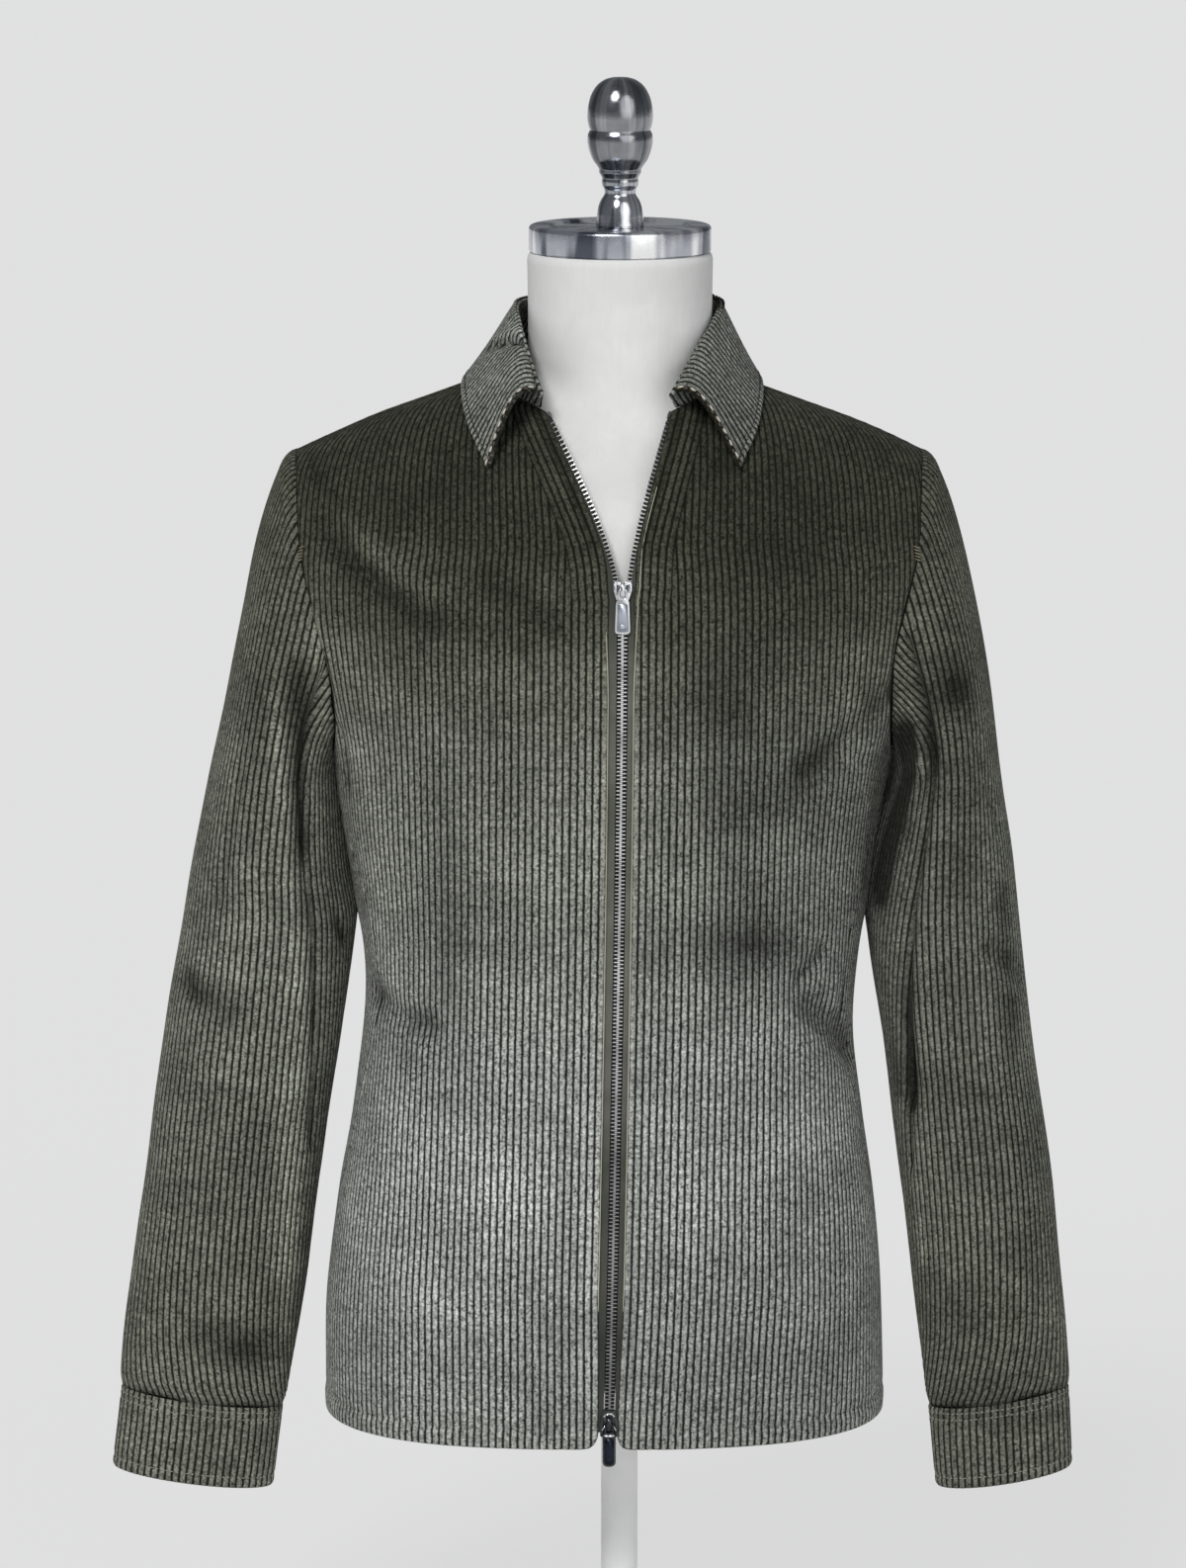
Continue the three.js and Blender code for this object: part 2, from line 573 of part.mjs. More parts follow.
// The neckline at a collar station: along the front's top edge, then round the back.
function necklinePoint(s) {
  const side = s < 0 ? SIDES.right : SIDES.left;
  const name = side < 0 ? 'right' : 'left';
  const station = COLLAR_STATIONS - Math.abs(s);
  if (station <= SHOULDER_STATION) {
    const z = OPEN_END + ((NECK_POINT - OPEN_END) * station) / SHOULDER_STATION;
    const section = sectionAt(z);
    return onSection(section, turnAtAcross(section, frontEdge(z, name), side), side);
  }
  const section = sectionAt(NECK_POINT);
  const start = turnAtAcross(section, frontEdge(NECK_POINT, name), side);
  const part = (station - SHOULDER_STATION) / (COLLAR_STATIONS - SHOULDER_STATION);
  return onSection(section, start + (180 - start) * part, side);
}
function collarStand() {
  const grid = stationList.map((s) => {
    const { side, station, roll } = collarRow(s);
    const base = necklinePoint(s).add(v3(0, 0, STAND_GAP.bottom));
    const top = roll.clone().add(v3(0, 0, -STAND_GAP.top));
    const front = clamp(1 - station / 2, 0, 1);
    const bandEnd = v3(STAND_CENTRE + side * STAND_FRONT.x, STAND_FRONT.y, STAND_FRONT.z);
    top.lerp(bandEnd, front * front);
    return [0, 0.5, 1].map((part) => base.clone().lerp(top, part));
  });
  const normals = gridNormals(grid, false);
  const middle = normals[COLLAR_STEPS][1];
  const sign = Math.sign(middle.y);
  const towardsNeck = normals.map((row) => row.map((n) => n.clone().setZ(0).normalize().multiplyScalar(-sign)));
  return wallGeometry(grid, offsetGrid(grid, towardsNeck, CLOTH), false);
}
add(jacket, 'collar_stand', collarStand(), corduroy);

// ---- zip ----
const ZIP_TOP = 817;
const TAPE_THICK = 1;
const TAPE_SUNK = CLOTH + 0.55;
const TAPE_BEHIND = 13; // width of tape behind the cloth's edge
const zipLevels = levels.filter((z) => z > HEM && z <= OPEN_END);

function chainLine(z, name) {
  return zipLine(z) + SIDES[name] * (CHAIN_HALF / 2 + opening(z, name));
}
function zipTapePanel(name) {
  const side = SIDES[name];
  const rows = zipLevels.map((z) => {
    const section = sectionAt(z);
    const near = chainLine(z, name) + side * (CHAIN_HALF / 2 + 2 * SEAM);
    const far = frontEdge(Math.max(z, HEM + CORNER), name) + side * TAPE_BEHIND;
    return [near, (near + far) / 2, far].map((x) => ({ z, side, turn: turnAtAcross(section, x, side) }));
  });
  return panelGeometry(rows, TAPE_THICK, TAPE_SUNK);
}
// A strip of teeth: a plain bar from one height to another, following the body.
function chainBar(heights, centreOf, halfWidth) {
  const row = (z) => {
    const x = centreOf(z);
    const side = x < sectionAt(z).centre ? SIDES.right : SIDES.left;
    const turn = turnAtAcross(sectionAt(z), x, side);
    const normal = bodyNormal(z, turn, side);
    const middle = bodyPoint(z, turn, side).addScaledVector(normal, -CHAIN_DEPTH);
    const across = v3(1, 0, 0).addScaledVector(normal, -normal.x).normalize();
    const corner = (a, b) => middle.clone().addScaledVector(across, a * halfWidth)
      .addScaledVector(normal, (b * CHAIN_THICK) / 2);
    return [corner(-1, 1), corner(1, 1), corner(1, -1), corner(-1, -1)];
  };
  return stackGeometry(heights.map(row));
}
const closedHeights = [174, 200, 250, 310, 370, 430, 500, 570, 630, 680, SLIDER_TOP - 3];
const openHeights = [SLIDER_TOP + 1.5, 722, 730, 745, 760, 775, 790, 805, ZIP_TOP];
add(jacket, 'zip_chain_closed', chainBar(closedHeights, zipLine, CHAIN_HALF), zipMetal);
for (const name of ['left', 'right']) {
  add(jacket, `zip_tape_${name}`, zipTapePanel(name), zipTape);
  const centreOf = (z) => chainLine(z, name) + SIDES[name] * (SEAM / 2);
  add(jacket, `zip_chain_${name}`, chainBar(openHeights, centreOf, CHAIN_HALF / 2), zipMetal);
}

// Slider: two plates round the teeth, the post between the open runs, and the arch that holds the tab.
const PLATE = { half: 4.7, length: 12, thick: 1.1, gap: 0.5 };
const POST = { half: 1.1, length: 2.6 };
const ARCH = { half: 1, out: 3.9, hole: 1.3, leg: 1.2 };
const HINGE_OUT = 1.75; // hinge line in front of the plate

// A slab lying in the slider's plane: its outline in X and Z, from one depth to another.
function slab(outline, near, far) {
  const shape = new THREE.Shape(outline.map(([x, z]) => new THREE.Vector2(x, z)));
  const geometry = new THREE.ExtrudeGeometry(shape, { depth: far - near, bevelEnabled: false });
  geometry.rotateX(Math.PI / 2);
  geometry.translate(0, far, 0);
  return geometry;
}
function slider(postEnd) {
  const face = CHAIN_THICK / 2 + PLATE.gap;
  const { half, length, thick } = PLATE;
  const waist = half - 1.1;
  const low = -length / 2;
  const high = length / 2;
  const outline = [
    [-waist, low], [waist, low], [half, low + 4 + 2 * postEnd], [half, high - 2 + postEnd], [half - 1.2, high],
    [-half + 1.2, high], [-half, high - 2 + postEnd], [-half, low + 4 + 2 * postEnd],
  ];
  const frontPlate = toSolid(slab(outline, -face - thick, -face));
  const backPlate = toSolid(slab(outline, face, face + thick));
  const postMiddle = postEnd * (high - POST.length / 2);
  const post = new THREE.BoxGeometry(2 * POST.half, 2 * face + thick, POST.length);
  post.translate(0, 0, postMiddle);
  // The arch's outline lies in depth and height, and it is extruded across the zip.
  const reach = ARCH.hole + ARCH.leg;
  const arch = new THREE.Shape([
    [0.3, -reach], [0.3, reach], [-ARCH.out + 0.8, reach], [-ARCH.out, reach - 0.8],
    [-ARCH.out, -reach + 0.8], [-ARCH.out + 0.8, -reach],
  ].map(([y, z]) => new THREE.Vector2(y, z)));
  const hole = new THREE.Path();
  hole.absarc(-HINGE_OUT, 0, ARCH.hole, 0, 2 * Math.PI, true);
  arch.holes.push(hole);
  const archBody = new THREE.ExtrudeGeometry(arch, { depth: 2 * ARCH.half, bevelEnabled: false, curveSegments: 12 });
  const upright = new THREE.Matrix4().set(0, 0, 1, -ARCH.half, 1, 0, 0, -face - thick, 0, 1, 0, 0, 0, 0, 0, 1);
  archBody.applyMatrix4(upright);
  return fromSolid(frontPlate.add(backPlate).add(toSolid(post)).add(toSolid(archBody)));
}

// The tab: an eye whose bar runs through the arch, and a rounded plate below it.
const TAB = { half: 4.6, length: 26, thick: 1.3, neck: 3.1, shoulder: 4.5, bar: 0.7, eyeHalf: 1.6, eyeLength: 3.6 };
function pullTab() {
  const { half, length, thick, neck, shoulder, bar, eyeHalf, eyeLength } = TAB;
  const outline = new THREE.Shape();
  outline.moveTo(-neck, bar);
  outline.lineTo(neck, bar);
  outline.lineTo(neck + 0.4, -shoulder);
  outline.lineTo(half, -length + half + 1);
  outline.absarc(0, -length + half, half, 0, -Math.PI, true);
  outline.lineTo(-half, -length + half + 1);
  outline.lineTo(-neck - 0.4, -shoulder);
  const eye = new THREE.Path();
  eye.moveTo(-eyeHalf, -bar);
  eye.lineTo(-eyeHalf, -eyeLength);
  eye.lineTo(eyeHalf, -eyeLength);
  eye.lineTo(eyeHalf, -bar);
  outline.holes.push(eye);
  const geometry = new THREE.ExtrudeGeometry(outline, { depth: thick, bevelEnabled: false, curveSegments: 10 });
  geometry.rotateX(Math.PI / 2);
  geometry.translate(0, thick / 2, 0);
  return geometry;
}

const faceOut = CHAIN_THICK / 2 + PLATE.gap + PLATE.thick;
// postEnd is 1 where the slider's post is at its upper end and -1 where it is at its lower end.
function zipFitting(suffix, z, postEnd, material) {
  const x = zipLine(z);
  const section = sectionAt(z);
  const side = x < section.centre ? SIDES.right : SIDES.left;
  const turn = turnAtAcross(section, x, side);
  const middle = bodyPoint(z, turn, side).addScaledVector(bodyNormal(z, turn, side), -CHAIN_DEPTH);
  const lean = Math.atan2(bodyPoint(z + 4, turn, side).y - bodyPoint(z - 4, turn, side).y, 8);
  const sliderMesh = add(jacket, `slider_${suffix}`, slider(postEnd), material);
  sliderMesh.position.copy(middle);
  sliderMesh.rotation.x = -lean;
  const hinge = v3(0, -faceOut - HINGE_OUT, 0).applyEuler(new THREE.Euler(-lean, 0, 0)).add(middle);
  const tab = add(jacket, `pull_${suffix}`, pullTab(), material);
  tab.position.copy(hinge);
}
zipFitting('top', SLIDER_TOP, 1, brightMetal);
zipFitting('bottom', SLIDER_BOTTOM, -1, darkMetal);

// ---- dress form ----
const NECK = { radius: 59.5, low: 812, high: 912.3, segments: 48 };
const FORM_BOTTOM = 192;
const FORM_LOW = 200; // the form's lower edge is rounded off below here
const FORM_TOP = 838;
const FORM_SLACK = { side: 12, front: 11, back: 10, shoulder: 2.95 }; // how far the form lies inside the cloth
const FORM_HALF = 190; // the form's shoulders end inside the sleeve heads
const FORM_COLUMNS = 40;
function formRing(z) {
  const section = sectionAt(z);
  const raised = z + FORM_SLACK.shoulder;
  const cloth = sectionAt(raised);
  const half = Math.min(section.full - FORM_SLACK.side, FORM_HALF, shoulderHalf(raised));
  const inside = {
    ...cloth, half, full: Math.max(section.full - FORM_SLACK.side, half),
    front: section.front - FORM_SLACK.front, back: section.back - FORM_SLACK.back,
  };
  return range(FORM_COLUMNS).map((k) => {
    const turn = (360 * k) / FORM_COLUMNS;
    const point = turn <= 180 ? onSection(inside, turn, 1) : onSection(inside, 360 - turn, -1);
    return point.setZ(z);
  });
}
const formLevels = [
  FORM_LOW, 240, 290, 340, 390, 440, 490, 540, 590, 630, 670, 700, 725, 745, 762, 775, 786, 797, 808, 818, 828,
  FORM_TOP,
];
function formTorso() {
  const rows = formLevels.map(formRing);
  const middle = v3(sectionAt(FORM_LOW).centre, 0, FORM_BOTTOM);
  rows.unshift(formRing(FORM_LOW).map((p) => p.sub(middle).multiplyScalar(0.95).add(middle).setZ(FORM_BOTTOM)));
  const torso = toSolid(stackGeometry(rows));
  const seatHeight = 60;
  const seat = new THREE.CylinderGeometry(NECK.radius + SEAM, NECK.radius + SEAM, seatHeight, NECK.segments);
  seat.rotateX(Math.PI / 2);
  seat.translate(0, 0, NECK.low - SEAM + seatHeight / 2);
  return fromSolid(torso.subtract(toSolid(seat)));
}
add(form, 'form_torso', formTorso(), canvas);

function lathe(profile, segments) {
  const geometry = new THREE.LatheGeometry(profile.map(([r, z]) => new THREE.Vector2(r, z)), segments);
  geometry.rotateX(Math.PI / 2);
  return geometry;
}
add(form, 'form_neck', lathe([
  [0, NECK.low], [58, NECK.low], [NECK.radius, NECK.low + 1.5], [58.9, 860],
  [59.6, NECK.high], [0, NECK.high],
], NECK.segments), canvas);

const CAP_DISC = { low: 912.6, high: 929.6, radius: 58.4 };
add(form, 'neck_cap', lathe([
  [0, CAP_DISC.low], [57.6, CAP_DISC.low], [CAP_DISC.radius, CAP_DISC.low + 0.8],
  [CAP_DISC.radius, CAP_DISC.high - 1.4], [57, CAP_DISC.high], [44.5, CAP_DISC.high], [43, CAP_DISC.high - 1.6], [0, CAP_DISC.high - 1.6],
], 56), brightMetal);

const KNOB_BASE = 928.3;
add(form, 'neck_knob', lathe([
  [0, KNOB_BASE], [15.2, KNOB_BASE], [15.2, 931], [14.6, 937], [13.6, 942.5], [10.2, 948.5],
  [10.3, 952], [11.6, 955.5], [11.6, 959], [13.4, 962], [13.6, 965], [17, 970], [19.6, 976],
  [20.9, 982], [20.6, 987], [19.4, 989.6], [20.4, 993], [21, 999], [20.4, 1005], [18.6, 1012],
  [15, 1018], [10, 1021.9], [5, 1023.3], [0, 1023.6],
], 32), brightMetal);

// The stand: a slim pole and a round foot.
const FOOT = { radius: 150, edge: 9, top: 15 };
const POLE = { radius: 12, collar: 17, collarHeight: 12, flange: 22 };
add(form, 'stand_base', lathe([
  [0, -LIFT], [FOOT.radius - 2, -LIFT], [FOOT.radius, -LIFT + 2], [FOOT.radius, -LIFT + FOOT.edge - 2],
  [FOOT.radius - 3, -LIFT + FOOT.edge], [40, -LIFT + FOOT.top], [0, -LIFT + FOOT.top],
], 64), painted);
const poleLow = -LIFT + FOOT.top + SEAM;
const poleHigh = FORM_BOTTOM - SEAM;
add(form, 'stand_pole', lathe([
  [0, poleLow], [POLE.collar, poleLow], [POLE.collar, poleLow + POLE.collarHeight],
  [POLE.radius, poleLow + POLE.collarHeight + 3], [POLE.radius, poleHigh - 9],
  [POLE.flange, poleHigh - 6], [POLE.flange, poleHigh], [0, poleHigh],
], 32), brightMetal);

const part = new THREE.Group();
part.add(form, jacket);
form.position.z = LIFT;
jacket.position.z = LIFT;
export default part;
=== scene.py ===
import json
import math

import bmesh
import bpy
import numpy as np
from mathutils import Matrix, Vector


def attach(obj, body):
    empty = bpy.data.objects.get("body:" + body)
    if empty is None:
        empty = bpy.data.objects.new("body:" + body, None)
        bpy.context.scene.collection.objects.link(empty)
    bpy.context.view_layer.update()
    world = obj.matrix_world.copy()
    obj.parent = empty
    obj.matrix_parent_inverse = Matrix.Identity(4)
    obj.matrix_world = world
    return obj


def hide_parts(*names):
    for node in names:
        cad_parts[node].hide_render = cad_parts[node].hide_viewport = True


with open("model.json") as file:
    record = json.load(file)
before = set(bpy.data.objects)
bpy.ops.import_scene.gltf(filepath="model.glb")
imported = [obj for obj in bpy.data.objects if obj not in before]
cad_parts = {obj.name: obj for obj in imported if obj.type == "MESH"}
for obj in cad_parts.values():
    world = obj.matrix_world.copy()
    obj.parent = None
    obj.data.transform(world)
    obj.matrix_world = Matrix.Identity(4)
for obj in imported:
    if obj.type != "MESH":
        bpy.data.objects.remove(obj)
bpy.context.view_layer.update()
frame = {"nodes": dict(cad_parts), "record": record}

# Shapes are worked out in millimetres from the garment's own zero, which lies LIFT above the floor.
MM = 0.001
LIFT = 40.0
SEAM = 0.3  # gap between a sleeve and its cuff
TOUCH = 0.05  # sewn pieces meet this close to their seam's middle
SIDES = {"right": -1, "left": 1}

# ---- the cloth ----
WALE = 4.7  # from one groove of the corduroy to the next
GROOVE_SHARE = 0.15  # how much of a wale each side of its groove takes
GROOVE_DEPTH = 0.85
CLOTH = 1.8  # thickness of one layer
DOUBLE_CLOTH = 2.6  # cuffs and collar
ROW = 6.6  # height of one row of faces
STITCH_PITCH = 3.4
MOST_WALES = {"body": 330, "sleeve": 240, "cuff": 160}  # how far the wales are laid out before they are cut
LEVEL_STEPS = 420  # steps along one level row when its length is measured
SAME = 1e-5  # points this near in metres are one point

# ---- the body ----
HEM = 160.0
HEM_CORNER = {"high": 12.0, "right": 8.5, "left": 7.0}
HEM_STITCH = 13.0  # height of the hem's stitching above its edge
NECK_POINT = 832.0
NECK_HALF = 77.0  # half the width between the shoulder seams' inner ends
SHOULDER_START = 690.0  # above this the body rolls in towards its shoulders
ROLL = {"front": 1.8, "back": 2.4}
OPEN_START = 718.0
OPEN_END = 819.0
OPEN_POWER = 1.3
ZIP_CURVE = 547.0  # height over which the zip's line drifts sideways
PARTING = 706.0  # the teeth begin to part inside the slider
OPEN_SPREAD = {"right": 43.5, "left": 27.0}
EDGE_GAP = {"right": 7.0, "left": 5.6}
# How much further the front edges part from the zip at each height.
EDGE_EASE = ((160, 185, 260, 700, 722, 740, 832), (-0.6, -0.3, 1.6, 1.6, 0.4, -1.6, -1.6))
STRIP = 5 * WALE  # the wales next to the zip that lean with the opened edge
ARMHOLE = {"y": 2.0, "z": 686.5, "height": 98.5, "depth": 76.0}
ARMHOLE_LOW = ARMHOLE["z"] - ARMHOLE["height"]
ARMHOLE_TOP = ARMHOLE["z"] + ARMHOLE["height"]


def named(columns, rows):
    """A table whose columns are read by name; the first column is its key."""
    data = np.array(rows, float)
    table = {name: data[:, i] for i, name in enumerate(columns.split())}
    table["key"] = data[:, 0]
    return table


BODY = named("z centre half front back power", [
    (150, -10.2, 182.5, 140, 127, 2.7),
    (230, -9.7, 181.3, 139, 126, 2.65),
    (300, -8.9, 174.5, 137, 121, 2.55),
    (353, -8.2, 166.4, 134, 115, 2.5),
    (405, -7.3, 159.7, 131, 110, 2.4),
    (445, -5.8, 159, 130, 108, 2.35),
    (490, -5.5, 163.5, 130, 108, 2.3),
    (549, -6.3, 172, 131, 112, 2.3),
    (600, -4.5, 182, 131, 117, 2.35),
    (650, -6, 199, 129, 120, 2.4),
    (690, -7, 214, 127, 121, 2.4),
    (740, -7, 226, 127, 121, 2.4),
    (870, -7, 226, 127, 121, 2.4),
])

SIDE_SEAM = named("z y", [(150, 4), (260, -10), (340, -36), (430, -54), (490, -50), (550, -20), (588, 2)])

SLEEVES = {
    "right": named("z centre half depth y", [
        (112, -279.5, 51.8, 28, -20),
        (166, -272.5, 52.4, 29, -20),
        (178, -270.8, 54.2, 34, -20),
        (220, -265.2, 56, 44, -18),
        (300, -254, 56.4, 51, -14),
        (405, -238.4, 56.4, 57, -8),
        (484, -226.8, 55, 63, -4),
        (523, -226, 49, 69, -1),
        (580, -223.5, 39.8, 73, 1),
    ]),
    "left": named("z centre half depth y", [
        (112, 252, 43.8, 28, -20),
        (166, 247.8, 45.2, 29, -20),
        (178, 246.5, 46.4, 34, -20),
        (220, 242, 48, 46, -18),
        (300, 233.4, 48.4, 54, -14),
        (405, 219.4, 48, 60, -8),
        (484, 209.6, 48.4, 66, -4),
        (523, 208.6, 45, 70, -1),
        (549, 209, 40.9, 73, 0),
        (580, 211, 34.8, 75, 1),
    ]),
}
SLEEVE_TILT = {"right": 0.13, "left": 0.16}
SLEEVE_START = 580.0
CUFF_SEAM = 166.0
CUFF_END = 112.0
CAP = {"reach": 0.1, "hang": 0.5, "proud": 0.3}  # how the sleeve's head leaves the armhole

COLLAR = named("s centre roll_x roll_y roll_z centre_edge edge_x edge_y edge_z", [
    (0, -9.3, 43.5, -80, 834, -4.3, 81, -94, 787),
    (1, -6.5, 51.5, -54, 851, -4.6, 92, -68, 808),
    (2, -3, 61, -22, 869, -5, 97, -33, 825),
    (3, -1, 65, 8, 879, -5, 96, 2, 832),
    (4, -1, 57, 38, 880, -5, 85, 36, 832),
    (5, -1, 33, 62, 879, -4, 50, 68, 829),
    (6, -1, 0, 71, 878, -4, 0, 82, 827),
    (7, -1, -33, 62, 879, -4, -50, 68, 829),
])
STATIONS = 6  # stations of the collar from its front end to the middle of the back
STAND_FRONT = (40.5, -74.5, 828.0)
STAND_CENTRE = -8.5
SHOULDER_STATION = 2.6

# Folds in the cloth: each a soft trough (negative) or ridge along a line from one point to another.
FOLDS = [
    # start, end, half width, depth
    ((199, -62, 660), (201, -60, 598), 6, -4),
    ((201, -60, 598), (192, -52, 545), 6, -6),
    ((191, -52, 545), (188, -46, 370), 6, -5.5),
    ((204, -60, 640), (204, -50, 380), 14, -2),
    ((190, -62, 632), (193, -58, 590), 4, 2),
    ((193, -58, 590), (182, -46, 520), 4, 2),
    ((226, -60, 600), (243, -40, 545), 3.5, -2),
    ((-221, -72, 660), (-217, -68, 567), 5, 2.2),
    ((-217, -68, 567), (-208, -60, 447), 5, 1.6),
    ((-204, -70, 648), (-199, -62, 537), 9, -2.2),
    ((-192, -74, 690), (-190, -66, 612), 5, 2.5),
    ((-190, -66, 612), (-178, -54, 545), 5, 2.5),
    ((-181, -56, 610), (-177, -50, 572), 5, -3),
    ((-232, -72, 560), (-240, -60, 420), 12, 1.2),
    ((122, -103, 446), (150, -40, 400), 11, -5),
    ((118, -108, 592), (168, -62, 640), 11, -3),
    ((-158, -50, 440), (-120, -98, 428), 9, -3.5),
    ((-150, 66, 416), (-52, 104, 438), 8, -2.6),
    ((140, 66, 452), (60, 102, 438), 8, -2.6),
    ((128, 78, 404), (70, 104, 396), 7, -1.8),
    ((-236, 44, 420), (-196, 30, 380), 12, -4),
    ((222, 46, 430), (186, 30, 396), 12, -4),
    # fine creases on the body
    ((134, -90, 613), (152, -72, 595), 4.5, -2.6),
    ((-191, -70, 640), (-180, -60, 590), 6, -2.5),
    ((-157, -72, 516), (-156, -72, 450), 3, -1.6),
    ((-157, -72, 448), (-140, -88, 451), 4, -2),
    ((130, -82, 474), (114, -97, 458), 5, -2.6),
    ((143, -68, 452), (139, -72, 420), 6, 2),
    ((-190, -84, 764), (-118, -116, 709), 9, 3.2),
    ((-188, -82, 742), (-116, -112, 690), 10, -3.4),
    ((-60, -122, 640), (-112, -112, 668), 14, 1.6),
    ((-60, 112, 700), (60, 112, 716), 16, -1.5),
    ((-120, 96, 640), (-60, 114, 560), 14, -2),
    ((110, 98, 636), (52, 114, 552), 14, -2),
    ((60, -118, 300), (110, -110, 240), 22, 1.6),
    ((-70, -124, 320), (-112, -112, 250), 22, 1.6),
    ((-40, 118, 340), (-90, 112, 230), 20, 1.6),
    # the sleeves swell towards the body under the arms
    ((-182, 0, 585), (-172, 0, 500), 24, 3.0),
    ((172, 0, 585), (164, 0, 505), 24, 4.0),
    # fine creases on the sleeves
    ((-238, -70, 672), (-245, -66, 586), 4, -2.2),
    ((-245, -66, 586), (-258, -58, 500), 4, -2.2),
    ((-297, -40, 285), (-312, -32, 212), 6, -2.5),
    ((-186, -40, 491), (-176, -34, 470), 4, -2),
    ((-286, -42, 444), (-240, -60, 415), 6, -2),
    ((-262, -58, 396), (-216, -52, 372), 9, 1.8),
    ((236, -60, 470), (262, -30, 446), 8, -2),
    ((228, -58, 250), (262, -42, 226), 9, -1.8),
    ((-270, 44, 330), (-226, 36, 300), 10, -2),
    ((248, 48, 300), (214, 40, 276), 10, -2),
    ((-222, 70, 600), (-250, 52, 520), 10, -3),
    ((214, 74, 600), (244, 54, 520), 10, -3),
]

